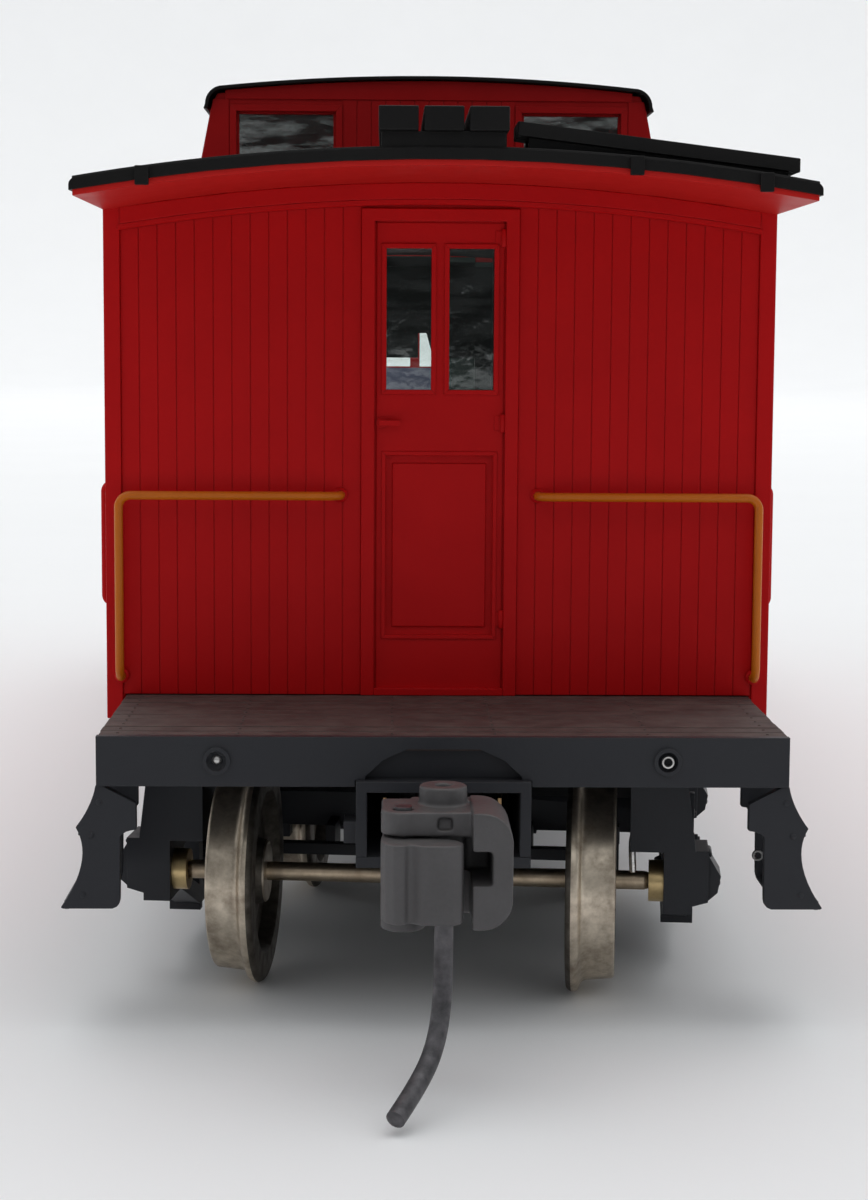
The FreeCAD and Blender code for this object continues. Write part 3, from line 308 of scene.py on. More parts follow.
def rgb(red, green, blue):
    return (red, green, blue, 1.0)


def painted(name, base, second, rough, edge_wear_and_sheen, edge_wear_and_sheen_share, dust, dust_share, grain_mm=0.006, grain_per_mm=9.0,
            patch_per_mm=0.35, metallic=0.0, gloss=0.5, edge_mm=0.05, rough_spread=0.14):
    """Paint or moulding: soft patches, paler edges for wear (in the red paints also a painted highlight of the
    gloss), dust on top and a fine grain.
    """
    material, tree = new_finish(name)
    patches = effect(tree, MOTTLE, Per_mm=patch_per_mm, Hardness=0.3)["Mask"]
    specks = effect(tree, MOTTLE, Per_mm=6.0, Hardness=0.2)["Mask"]
    both = maths(tree, "MULTIPLY_ADD", specks, 0.3, maths(tree, "MULTIPLY", patches, 0.7))
    colour = blended(tree, both, rgb(*base), rgb(*second))
    edges = effect(tree, EDGE_WEAR_AND_SHEEN, Reach=edge_mm * 1.6 * MM)["Mask"]
    # Paler edge colour: wear, and in the red paints a painted highlight where the gloss catches the edges.
    colour = blended(tree, maths(tree, "MULTIPLY", edges, edge_wear_and_sheen_share), colour, rgb(*edge_wear_and_sheen))
    settled = effect(tree, SETTLED_DUST)["Mask"]
    colour = blended(tree, maths(tree, "MULTIPLY", settled, dust_share), colour, rgb(*dust))
    roughness = maths(tree, "MULTIPLY_ADD", both, rough_spread, rough - rough_spread / 2)
    roughness = maths(tree, "MULTIPLY_ADD", settled, 0.25 * dust_share, roughness, clamp=True)
    soft_edge = put(tree, "Bevel", {"Radius": edge_mm * MM}, samples=4).outputs[0]
    grain = effect(tree, FINE_GRAIN, Per_mm=grain_per_mm)["Height"]
    normal = bumped(tree, grain, grain_mm, soft_edge)
    surfaced(tree, colour, roughness, normal, metallic, gloss)
    return material


def boards(name, pale, dark, gap_tone, rough, stretch):
    """Weathered wood with a tone for each board."""
    material, tree = new_finish(name)
    wood = effect(tree, WOOD_FIBRE, Stretch=stretch, Per_mm=2.6)
    colour = blended(tree, wood["Streaks"], rgb(*dark), rgb(*pale))
    tone = maths(tree, "MULTIPLY", wood["Board tone"], 0.55)
    colour = blended(tree, tone, colour, rgb(*gap_tone))
    settled = effect(tree, SETTLED_DUST, Per_mm=0.8)["Mask"]
    colour = blended(tree, maths(tree, "MULTIPLY", settled, 0.3), colour, rgb(0.2, 0.17, 0.15))
    soft_edge = put(tree, "Bevel", {"Radius": 0.05 * MM}, samples=4).outputs[0]
    normal = bumped(tree, wood["Height"], 0.035, soft_edge)
    roughness = maths(tree, "MULTIPLY_ADD", wood["Streaks"], 0.12, rough)
    surfaced(tree, colour, roughness, normal)
    return material


def turned_metal(name, bright, dull, rough, dull_share=0.6, marks_mm=0.004):
    """Lathe-turned metal with fine rings and dull patches."""
    material, tree = new_finish(name)
    marks = effect(tree, TURNING_MARKS)
    share = maths(tree, "MULTIPLY", marks["Tone"], dull_share)
    colour = blended(tree, share, rgb(*bright), rgb(*dull))
    roughness = maths(tree, "MULTIPLY_ADD", share, 0.3, rough)
    normal = bumped(tree, marks["Height"], marks_mm)
    surfaced(tree, colour, roughness, normal, metallic=1.0)
    return material


def plain_metal(name, bright, dull, rough, grain_mm=0.004):
    """Drawn or rolled metal with tarnish in patches."""
    material, tree = new_finish(name)
    patches = effect(tree, MOTTLE, Per_mm=1.4, Hardness=0.4)["Mask"]
    edges = effect(tree, EDGE_WEAR_AND_SHEEN, Reach=0.06 * MM)["Mask"]
    colour = blended(tree, patches, rgb(*bright), rgb(*dull))
    colour = blended(tree, maths(tree, "MULTIPLY", edges, 0.5), colour, rgb(*bright))
    roughness = maths(tree, "MULTIPLY_ADD", patches, 0.18, rough)
    grain = effect(tree, FINE_GRAIN, Per_mm=12.0)["Height"]
    normal = bumped(tree, grain, grain_mm)
    surfaced(tree, colour, roughness, normal, metallic=1.0)
    return material


def clear_sheet(name, tint, haze_share, wave_mm):
    """Thin clear plastic: slight waves, a mirror at low angles and a broken haze."""
    material, tree = new_finish(name)
    waves = effect(tree, MOTTLE, Per_mm=0.28, Hardness=0.0)["Mask"]
    normal = bumped(tree, waves, wave_mm)
    haze = effect(tree, MOTTLE, Per_mm=0.9, Stretch=(0.35, 1.0, 1.6), Hardness=0.85)["Mask"]
    clear = put(tree, "BsdfTransparent", {"Color": rgb(*tint)})
    inputs = {"Base Color": rgb(0.85, 0.88, 0.87), "Roughness": 0.06, "Normal": normal, "Metallic": 1.0}
    skin = put(tree, "BsdfPrincipled", inputs)
    mirror = put(tree, "Fresnel", {"IOR": 1.45, "Normal": normal}).outputs[0]
    share = maths(tree, "MULTIPLY_ADD", haze, haze_share, mirror, clamp=True)
    both = put(tree, "MixShader", {0: share, 1: clear.outputs[0], 2: skin.outputs[0]})
    shown(tree, both)
    return material


FINISHES = {
    # The red paints' paler, pinker edge colour is a painted highlight of the gloss as well as wear.
    "body_red": painted("satin_red_paint", (0.510, 0.0052, 0.0064), (0.450, 0.0044, 0.0058), 0.44,
                        (0.42, 0.03, 0.025), 0.3, (0.34, 0.12, 0.10), 0.05, gloss=0.10),
    "roof_black": painted("flat_black_paint", (0.0046, 0.0044, 0.0046), (0.0080, 0.0074, 0.0072), 0.52,
                          (0.05, 0.047, 0.045), 0.35, (0.08, 0.075, 0.07), 0.1, grain_mm=0.01, gloss=0.16),
    "frame_black": painted("blue_black_moulding", (0.0175, 0.0187, 0.0240), (0.0245, 0.0257, 0.0303), 0.48,
                           (0.075, 0.076, 0.08), 0.45, (0.13, 0.115, 0.10), 0.12, gloss=0.3),
    "deck_wood": boards("weathered_deck_boards", (0.078, 0.048, 0.043), (0.034, 0.020, 0.018),
                        (0.058, 0.040, 0.036), 0.66, (0.1, 1.0, 1.0)),
    "grab_yellow": painted("rail_yellow_paint", (0.60, 0.150, 0.003), (0.50, 0.120, 0.0025), 0.38,
                           (0.20, 0.10, 0.02), 0.35, (0.35, 0.25, 0.15), 0.1, edge_mm=0.03, gloss=0.3),
    "coupler_grey": painted("grey_casting", (0.062, 0.059, 0.061), (0.095, 0.091, 0.094), 0.5,
                            (0.26, 0.25, 0.25), 0.55, (0.22, 0.19, 0.16), 0.16, grain_mm=0.02,
                            grain_per_mm=5.0, metallic=0.2),
    "trip_wire": plain_metal("blackened_wire", (0.145, 0.14, 0.148), (0.07, 0.068, 0.072), 0.4),
    "spring_bronze": plain_metal("spring_bronze", (0.70, 0.46, 0.24), (0.42, 0.27, 0.14), 0.3),
    "wheel_nickel": turned_metal("turned_nickel", (0.66, 0.58, 0.47), (0.20, 0.155, 0.115), 0.3,
                                 dull_share=0.75),
    "axle_steel": turned_metal("turned_axle", (0.60, 0.49, 0.36), (0.28, 0.20, 0.13), 0.3),
    "bearing_brass": turned_metal("turned_brass", (0.62, 0.47, 0.24), (0.36, 0.26, 0.13), 0.3),
    "screw_steel": plain_metal("blackened_screws", (0.26, 0.26, 0.27), (0.12, 0.12, 0.125), 0.34),
    "weight_steel": plain_metal("rolled_plate", (0.34, 0.36, 0.42), (0.22, 0.235, 0.28), 0.42),
    "glazing": clear_sheet("clear_glazing", (0.93, 0.96, 0.95), 0.05, 0.03),
    "interior_green": painted("dark_green_moulding", (0.014, 0.032, 0.026), (0.022, 0.046, 0.038), 0.5,
                              (0.10, 0.14, 0.12), 0.3, (0.12, 0.13, 0.12), 0.1),
}
# A darker copy of the satin red for the set-back cupola: painted shade.
SHADED_CUPOLA_RED = painted("red_paint_with_painted_shade", (0.350, 0.0046, 0.0054), (0.300, 0.0040, 0.0048), 0.46,
                   (0.36, 0.03, 0.025), 0.3, (0.30, 0.11, 0.09), 0.06, gloss=0.10)
# A paler, more orange copy of the satin red for the soffits under the roof: painted light, as if lit from below by
# the floor.
LIT_SOFFIT_RED = painted("soffit_red_with_painted_light", (0.560, 0.0160, 0.0130), (0.520, 0.0140, 0.0120), 0.44,
                     (0.46, 0.04, 0.03), 0.3, (0.34, 0.12, 0.10), 0.05, gloss=0.10)
SMEARED_GLAZING = clear_sheet("smeared_glazing", (0.90, 0.92, 0.91), 0.55, 0.05)
WHEEL_FACE = plain_metal("dulled_wheel_face", (0.15, 0.135, 0.115), (0.07, 0.06, 0.05), 0.5)
PALE_INTERIOR = painted("grey_blue_moulding", (0.15, 0.165, 0.27), (0.18, 0.195, 0.31), 0.5,
                        (0.2, 0.2, 0.25), 0.2, (0.2, 0.2, 0.2), 0.1)
BRIGHT_HARDWARE = plain_metal("bright_hardware", (0.72, 0.71, 0.69), (0.42, 0.41, 0.40), 0.25)


# ---- shaping helpers, in millimetres

def slab(bm, outline, push):
    """A flat outline pushed along a vector into a closed solid."""
    push = Vector(push)
    front = [bm.verts.new(Vector(point)) for point in outline]
    back = [bm.verts.new(Vector(point) + push) for point in outline]
    bm.faces.new(front)
    bm.faces.new(list(reversed(back)))
    count = len(outline)
    for i in range(count):
        j = (i + 1) % count
        bm.faces.new([front[j], front[i], back[i], back[j]])


def bar(bm, low, high):
    """A straight-sided bar between two corners."""
    x0, y0, z0 = low
    x1, y1, z1 = high
    slab(bm, [(x0, y0, z0), (x1, y0, z0), (x1, y0, z1), (x0, y0, z1)], (0, y1 - y0, 0))


def skin(bm, rings, caps=True):
    """Join rings of points, one after another, into a closed surface."""
    made = [[bm.verts.new(point) for point in ring] for ring in rings]
    count = len(made[0])
    for first, second in zip(made, made[1:]):
        for i in range(count):
            j = (i + 1) % count
            bm.faces.new([first[i], first[j], second[j], second[i]])
    if caps:
        bm.faces.new(list(reversed(made[0])))
        bm.faces.new(made[-1])
    return made


def round_points(steps):
    """The sines and cosines of equal steps round a circle, as (cosine, sine)."""
    angles = [2 * math.pi * step / steps for step in range(steps)]
    return [(math.cos(angle), math.sin(angle)) for angle in angles]


def turned_rings(profile, place, steps):
    """Circles about the place's own X axis, one for each (along, radius) point."""
    rings = []
    for along, radius in profile:
        rings.append([place @ Vector((along, radius * c, radius * s)) for c, s in round_points(steps)])
    return rings


def turned(bm, profile, place, steps=24):
    """Turn a profile of (along, radius) points about the place's own X axis; the ends are closed flat."""
    skin(bm, turned_rings(profile, place, steps))


def turned_ring(bm, profile, place, steps=96):
    """Turn a closed profile of (along, radius) points about the place's own X axis, leaving a bore."""
    made = skin(bm, turned_rings(profile, place, steps), caps=False)
    for i in range(steps):
        j = (i + 1) % steps
        bm.faces.new([made[-1][i], made[-1][j], made[0][j], made[0][i]])


def wire(bm, points, radius, steps=14, tip=0.35):
    """A round wire along points, with domed ends."""
    points = [Vector(point) for point in points]
    start_way = (points[1] - points[0]).normalized()
    end_way = (points[-1] - points[-2]).normalized()
    dome = radius * tip
    path = [(points[0] - start_way * dome, 0.35), (points[0] - start_way * dome * 0.6, 0.75)]
    path += [(point, 1.0) for point in points]
    path += [(points[-1] + end_way * dome * 0.6, 0.75), (points[-1] + end_way * dome, 0.35)]
    side = start_way.orthogonal().normalized()
    turns = round_points(steps)
    rings = []
    for index, (point, share) in enumerate(path):
        before = path[max(index - 1, 0)][0]
        after = path[min(index + 1, len(path) - 1)][0]
        way = (after - before).normalized()
        side = (side - way * side.dot(way)).normalized()
        other = way.cross(side)
        rings.append([point + (side * c + other * s) * radius * share for c, s in turns])
    skin(bm, rings)


def smooth_run(points, steps=10):
    """Points along a smooth curve pulled towards each corner of a route."""
    route = [Vector(point) for point in points]
    run = [route[0]]
    mids = [(a + b) / 2 for a, b in zip(route[1:-2], route[2:-1])]
    starts = [route[0]] + mids
    ends = mids + [route[-1]]
    for start, corner, end in zip(starts, route[1:-1], ends):
        for step in range(1, steps + 1):
            t = step / steps
            run.append(start * (1 - t) ** 2 + corner * 2 * t * (1 - t) + end * t * t)
    return run


def facing(direction, spot):
    """A place whose own X axis points along a direction."""
    turn = Vector((1, 0, 0)).rotation_difference(Vector(direction)).to_matrix().to_4x4()
    return Matrix.Translation(Vector(spot)) @ turn


def rivet(bm, spot, direction, radius, steps=12):
    """A domed rivet head."""
    dome = ((0.3, 0.94), (0.55, 0.66), (0.68, 0.2))
    profile = [(-0.02, radius)] + [(radius * along, radius * out) for along, out in dome]
    turned(bm, profile, facing(direction, spot), steps)


def bolt(bm, spot, direction, across):
    """A hexagon nut on a washer, with the end of its bolt."""
    place = facing(direction, spot)
    washer = ((-0.02 / across, 0.68), (0.12, 0.68), (0.14, 0.62))
    nut = ((0.14, 0.56), (0.5, 0.56), (0.56, 0.48))
    thread = ((0.5, 0.26), (0.74, 0.26), (0.8, 0.18))
    for profile, steps in ((washer, 18), (nut, 6), (thread, 12)):
        turned(bm, [(along * across, out * across) for along, out in profile], place, steps)


def spans(start, stop, width):
    """Equal stretches of about one width between two ends."""
    count = max(1, round((stop - start) / width))
    step = (stop - start) / count
    return [(start + i * step, start + (i + 1) * step) for i in range(count)]


def surround(bm, x0, x1, z0, z1, width, y, push):
    """Four mitred lengths of moulding round an opening in an end wall."""
    inner = [(x0, y, z0), (x1, y, z0), (x1, y, z1), (x0, y, z1)]
    x2, x3, z2, z3 = x0 - width, x1 + width, z0 - width, z1 + width
    outer = [(x2, y, z2), (x3, y, z2), (x3, y, z3), (x2, y, z3)]
    for i in range(4):
        j = (i + 1) % 4
        slab(bm, [inner[i], inner[j], outer[j], outer[i]], (0, push, 0))


def turned_half_round(bm):
    """Turn what has been built to the other end of the car."""
    bmesh.ops.transform(bm, matrix=HALF_TURN, verts=bm.verts)


def round_edges(piece, width):
    """Round a piece's sharp edges by a width in millimetres."""
    rounder = piece.modifiers.new("rounded", "BEVEL")
    rounder.width = width * MM
    rounder.segments = 2
    rounder.limit_method = "ANGLE"
    rounder.angle_limit = math.radians(40)
    return rounder


def add_piece(name, bm, body, slot, finish=None, rounding=0.0, stands_for=(), place=None):
    """Make a piece from millimetres, give it its finish and let it ride on a body."""
    bmesh.ops.recalc_face_normals(bm, faces=bm.faces)
    bmesh.ops.scale(bm, vec=(MM, MM, MM), verts=bm.verts)
    mesh = bpy.data.meshes.new(name)
    bm.to_mesh(mesh)
    bm.free()
    mesh.materials.append(finish or FINISHES[slot])
    mesh.shade_smooth()
    mesh.set_sharp_from_angle(angle=SHARP_ANGLE)
    piece = bpy.data.objects.new(name, mesh)
    bpy.context.scene.collection.objects.link(piece)
    if place is not None:
        piece.matrix_world = Matrix.Translation(place.translation * MM) @ place.to_3x3().to_4x4()
    if rounding:
        round_edges(piece, rounding).harden_normals = True
    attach(piece, body)
    if stands_for:
        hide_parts(*stands_for)
    return piece


# ---- sheathing and trim on the body

BOARD_WIDTH = 0.92
BOARD_GAP = 0.035
BOARD_THICK = 0.05
BOARD_SUNK = 0.02
BOARD_PUSH = BOARD_THICK + BOARD_SUNK
WINDOW_CLEAR = 0.02


def board_run(bm, start, stop, foot_at, top_at, push):
    """Narrow boards side by side; foot_at and top_at give their corners at a distance along the run."""
    for first, last in spans(start, stop, BOARD_WIDTH):
        left = first + BOARD_GAP / 2
        right = last - BOARD_GAP / 2
        slab(bm, [foot_at(left), foot_at(right), top_at(right), top_at(left)], push)


def end_sheathing(end):
    """Narrow boards on an end wall, up to the arched trim."""
    bm = bmesh.new()
    face = end * (WALL_FACE_Y - BOARD_SUNK)
    top_depth = 1.5
    for side in SIDES:
        ends = sorted((side * SURROUND_HALF, side * BOARD_AREA_X))
        board_run(bm, ends[0], ends[1], lambda x: (x, face, DECK_TOP + 0.02),
                  lambda x: (x, face, roof_z(x, top_depth)), (0, end * BOARD_PUSH, 0))
    add_piece(END_NAMES[end] + "_end_sheathing", bm, "car_body", "body_red", rounding=0.012)


def side_sheathing(side):
    """Narrow boards along one side, cut round the windows."""
    bm = bmesh.new()
    face = side * (WALL_FACE_X - BOARD_SUNK)
    push = (side * BOARD_PUSH, 0, 0)
    low_z = 13.0
    high_z = 36.4
    window_y = (FRAME_HIGH.y + 28.4) / 2
    window_half = FRAME_HIGH.y - window_y + WINDOW_CLEAR
    marks = [-BOARD_AREA_Y, -window_y - window_half, -window_y + window_half]
    marks += [-mark for mark in reversed(marks)]
    for index, (start, stop) in enumerate(zip(marks, marks[1:])):
        heights = [(low_z, high_z)]
        if index in (1, 3):
            heights = [(low_z, FRAME_LOW.z - WINDOW_CLEAR), (FRAME_HIGH.z + WINDOW_CLEAR, high_z)]
        for z0, z1 in heights:
            board_run(bm, start, stop, lambda y: (face, y, z0), lambda y: (face, y, z1), push)
    name = "left_side_sheathing" if side < 0 else "right_side_sheathing"
    add_piece(name, bm, "car_body", "body_red", rounding=0.012)


def door_mouldings(end):
    """Beads round the door's panes and panel, a threshold, the door's stops and three hinges."""
    bm = bmesh.new()
    face = end * DOOR_FACE_Y
    foot = face - end * 0.02
    out = end * 0.13
    for side in SIDES:
        x0, x1 = sorted((side * 0.42, side * PANE_HIGH.x))
        surround(bm, x0 + 0.02, x1 - 0.02, PANE_LOW.z + 0.02, PANE_HIGH.z - 0.02, 0.24, foot, out)
    surround(bm, -2.65, 2.65, 16.4, 25.3, 0.2, foot, out * 0.8)
    bar(bm, (-DOOR_HALF, face, DECK_TOP), (DOOR_HALF, end * TRIM_FACE_Y, DECK_TOP + 0.35))
    stop_front = face - end * 0.07
    stop_back = face - end * 0.3
    stop_top = DOOR_TOP_Z + 0.22
    for side in SIDES:
        inner = side * (DOOR_HALF - 0.12)
        outer = side * (DOOR_HALF + 0.22)
        bar(bm, (inner, stop_front, DECK_TOP), (outer, stop_back, stop_top))
    bar(bm, (-DOOR_HALF, stop_front, DOOR_TOP_Z - 0.12), (DOOR_HALF, stop_back, stop_top))
    knuckle = [(-0.45, 0.12), (-0.4, 0.15), (0.4, 0.15), (0.45, 0.12)]
    x = -end * (DOOR_HALF - 0.1)
    for z in (17.2, 26.9, 35.9):
        turned(bm, knuckle, facing((0, 0, 1), (x, face + end * 0.1, z)), 14)
        bar(bm, (x, face, z - 0.36), (x + end * 0.42, face + end * 0.06, z + 0.36))
    add_piece(END_NAMES[end] + "_door_mouldings", bm, "car_body", "body_red", rounding=0.03)


def eave_moulding(end):
    """A thin bead that follows the arch of the roof along the top of an end wall."""
    bm = bmesh.new()
    half = BOARD_AREA_X + 0.1
    back = end * (WALL_FACE_Y + 0.15)
    front = end * TRIM_FACE_Y
    steps = 28
    rings = []
    for step in range(steps + 1):
        x = -half + 2 * half * step / steps
        z = roof_z(x, 1.55)
        rings.append([(x, back, z - 0.28), (x, front, z - 0.2), (x, front, z), (x, back, z)])
    skin(bm, rings)
    add_piece(END_NAMES[end] + "_eave_moulding", bm, "car_body", "body_red")


FASCIA_Z = 46.05
CUPOLA_WIN_IN = 5.9
CUPOLA_WIN_OUT = 12.2
CUPOLA_WIN_LOW = 41.3
CUPOLA_WIN_HIGH = 45.3
CUPOLA_SIDE_WIN_HIGH = 44.95
CUPOLA_TRIM = 0.42


def crown_points(half, steps, crown):
    """Points (x, z) along the cupola's arch between -half and half."""
    drop = CUPOLA_ROOF_R - crown
    across = [-half + 2 * half * step / steps for step in range(steps + 1)]
    return [(x, math.sqrt(CUPOLA_ROOF_R ** 2 - x * x) - drop) for x in across]


def cupola_end_boards(bm, end):
    """Boards, corner posts, window trims and the arched fascia on one end of the cupola."""
    face = end * (CUPOLA_END - BOARD_SUNK)
    out = end * BOARD_PUSH
    stretches = [(-CUPOLA_WIN_IN + CUPOLA_TRIM, CUPOLA_WIN_IN - CUPOLA_TRIM, 38.8, FASCIA_Z)]
    post_in = CUPOLA_WIN_OUT + CUPOLA_TRIM
    for side in SIDES:
        window = sorted((side * (CUPOLA_WIN_IN - CUPOLA_TRIM), side * post_in))
        stretches.append((window[0], window[1], 38.2, CUPOLA_WIN_LOW - CUPOLA_TRIM))
    for start, stop, low, high in stretches:
        board_run(bm, start, stop, lambda x: (x, face, max(low, roof_z(x))),
                  lambda x: (x, face, high), (0, out, 0))
    for side in SIDES:
        inner = side * (post_in + 0.03)
        outline = [(inner, face, 38.0), (side * cupola_half(38.0), face, 38.0),
                   (side * cupola_half(FASCIA_Z), face, FASCIA_Z), (inner, face, FASCIA_Z)]
        slab(bm, outline, (0, out + end * 0.05, 0))
        x0, x1 = sorted((side * CUPOLA_WIN_IN, side * CUPOLA_WIN_OUT))
        surround(bm, x0, x1, CUPOLA_WIN_LOW, CUPOLA_WIN_HIGH, CUPOLA_TRIM, face, out + end * 0.1)
        surround(bm, x0 + 0.16, x1 - 0.16, CUPOLA_WIN_LOW + 0.16, CUPOLA_WIN_HIGH - 0.16, 0.18,
                 end * (CUPOLA_END - 0.42), end * 0.2)
    half = 12.9
    top = [(x, face, z - 0.05) for x, z in crown_points(half, 20, CUPOLA_CROWN)]
    slab(bm, [(-half, face, FASCIA_Z), (half, face, FASCIA_Z)] + top[::-1], (0, out + end * 0.08, 0))


def cupola_side_boards(bm, side):
    """Boards and window trims on one leaning side of the cupola."""
    foot = 38.1
    marks = [-CUPOLA_END + 0.1, -13.4, -2.6, 2.6, 13.4, CUPOLA_END - 0.1]
    push = (side * BOARD_PUSH, 0, BOARD_PUSH * CUPOLA_LEAN)
    for index, (start, stop) in enumerate(zip(marks, marks[1:])):
        high = CUPOLA_WIN_LOW - 0.2 if index in (1, 3) else 45.5
        low_x = side * (cupola_half(foot) - BOARD_SUNK)
        high_x = side * (cupola_half(high) - BOARD_SUNK)
        board_run(bm, start, stop, lambda y: (low_x, y, foot), lambda y: (high_x, y, high), push)
    low = CUPOLA_WIN_LOW
    high = CUPOLA_SIDE_WIN_HIGH
    for y in (-8.0, 8.0):
        rails = [(low - 0.2, low + 0.05, -5.4, 5.4), (high, high + 0.25, -5.4, 5.4)]
        stiles = [(low, high, -5.4, -5.1), (low, high, 5.1, 5.4), (low, high, -0.15, 0.15)]
        for z0, z1, y0, y1 in rails + stiles:
            low_x = side * (cupola_half(z0) - 0.1)
            high_x = side * (cupola_half(z1) - 0.1)
            outline = [(low_x, y + y0, z0), (low_x, y + y1, z0), (high_x, y + y1, z1), (high_x, y + y0, z1)]
            slab(bm, outline, (side * 0.3, 0, 0.3 * CUPOLA_LEAN))


def cupola_boards():
    """All that is laid on the cupola's walls."""
    bm = bmesh.new()
    for end in END_NAMES:
        cupola_end_boards(bm, end)
    for side in SIDES:
        cupola_side_boards(bm, side)
    # The cupola's boards and trim take the darker red, which is painted shade.
    add_piece("cupola_sheathing_and_trim", bm, "car_body", "body_red", finish=SHADED_CUPOLA_RED, rounding=0.03)


def cupola_cover_outline(inset):
    """The cupola roof's outline from eave to eave over its rounded corners, as (x, z)."""
    half = CUPOLA_ROOF_HIGH.x - inset
    corner = 1.15 - inset
    top_x = half - 0.1 - corner
    top = crown_points(top_x, 24, CUPOLA_ROOF_HIGH.z - inset)
    bend = [(half, 45.4)]
    for step in range(8):
        angle = math.pi / 2 * step / 8
        bend.append((top_x + corner * math.cos(angle), top[0][1] - corner + corner * math.sin(angle)))
    return bend + top[::-1] + [(-x, z) for x, z in bend[::-1]]


def cupola_cover():
    """The cupola's thin roof covering, turned down a little way over its sides."""
    bm = bmesh.new()
    end = CUPOLA_ROOF_HIGH.y
    rings = []
    for (x, z), (in_x, in_z) in zip(cupola_cover_outline(0.0), cupola_cover_outline(CUPOLA_COVER)):
        rings.append([(x, -end, z), (x, end, z), (in_x, end, in_z), (in_x, -end, in_z)])
    skin(bm, rings)
    add_piece("cupola_roof_cover", bm, "car_body", "roof_black", rounding=0.04, stands_for=["cupola_roof"])


# ---- roof

def roof_battens():
    """Raised seams across the roof covering."""
    bm = bmesh.new()
    first = CUPOLA_END + 5.2
    last = ROOF_HIGH.y - 0.25
    half = ROOF_HIGH.x - 0.15
    section = ((-0.2, -0.03), (-0.14, 0.09), (0.14, 0.09), (0.2, -0.03))
    across = [-half + half * step / 16 for step in range(33)]
    for end in END_NAMES:
        for index in range(6):
            y = end * (first + (last - first) * index / 5)
            skin(bm, [[(x, y + along, roof_z(x) + up) for along, up in section] for x in across])
    add_piece("roof_seams", bm, "car_body", "roof_black")


def walkway_bolts():
    """Bolt heads where the roof planks and the lateral boards are held down."""
    bm = bmesh.new()
    plank_top = corners("running_boards")[1].z
    centre = -0.15
    pitch = 1.98
    head = 0.13
    xs = [centre + index * pitch + offset for index in (-1, 0, 1) for offset in (-0.5, 0.5)]
    for y in (63.55, 54.4, 45.2, 36.0, 26.8, 18.4):
        for x in xs:
            for end in END_NAMES:
                rivet(bm, (-end * x, end * y, plank_top), (0, 0, 1), head)
    inner = (3.1, 40.5)
    outer = (15.55, 38.98)
    slope = (inner[1] - outer[1]) / (outer[0] - inner[0])
    for x in (8.3, 14.4):
        z = inner[1] - (x - inner[0]) * slope
        for y in (62.7, 60.8):
            for end in END_NAMES:
                rivet(bm, (-end * x, end * y, z), (-end * slope, 0, 1), head)
    add_piece("walkway_bolts", bm, "car_body", "roof_black")


# ---- platforms and steps

def deck_planks(end):
    """The platform's boards, laid across the car."""
    bm = bmesh.new()
    draw = random.Random(7 + end)
    for y0, y1 in spans(INSIDE_Y, DECK_HIGH.y, 1.19):
        drop = draw.uniform(0.0, 0.045)
        left = draw.uniform(0.0, 0.05)
        right = draw.uniform(0.0, 0.05)
        low = (-SILL_HALF + left, y0 + 0.035, DECK_LOW.z)
        high = (SILL_HALF - right, y1 - 0.035, DECK_TOP - drop)
        bar(bm, low, high)
        for x in (-14.6, -9.2, -2.3, 2.3, 9.2, 14.6):
            rivet(bm, (x, (y0 + y1) / 2, DECK_TOP - drop), (0, 0, 1), 0.075, 8)
    if end == NEAR:
        turned_half_round(bm)
    name = END_NAMES[end] + "_deck_planks"
    add_piece(name, bm, "car_body", "deck_wood", rounding=0.04, stands_for=["platform_decks"])


def curve_between(start, pull_start, pull_end, end, steps):
    """Points along a curve that leaves and arrives along two pulls, without its first point."""
    points = []
    for step in range(1, steps + 1):
        t = step / steps
        shares = ((1 - t) ** 3, 3 * t * (1 - t) ** 2, 3 * t * t * (1 - t), t ** 3)
        pulls = zip(start, pull_start, pull_end, end)
        points.append(tuple(sum(share * value for share, value in zip(shares, values)) for values in pulls))
    return points


def stringer_outline(inner_x):
    """A step's side plate seen from the end of the car: two hollow sweeps down its outer edge."""
    top = (SILL_HALF + 0.05, SILL_LOW.z)
    tip = (16.4, 9.25)
    foot = (STEP_HIGH.x, STEP_LOW.z + 0.05)
    outline = [(inner_x - 0.75, 10.35), (15.2, SILL_LOW.z), top]
    outline += curve_between(top, (15.6, 10.5), (16.0, 9.75), tip, 8)
    outline += curve_between(tip, (15.95, 8.5), (15.9, 7.3), foot, 12)
    heel = (inner_x + 0.35, STEP_LOW.z)
    outline += [(STEP_HIGH.x - 0.1, STEP_LOW.z), heel]
    outline += curve_between(heel, (inner_x, 5.65), (inner_x, 5.8), (inner_x, 6.2), 4)
    root = (inner_x - 0.75, 9.15)
    outline += curve_between((inner_x, 8.6), (inner_x, 9.0), (inner_x - 0.3, 9.1), root, 5)
    return outline


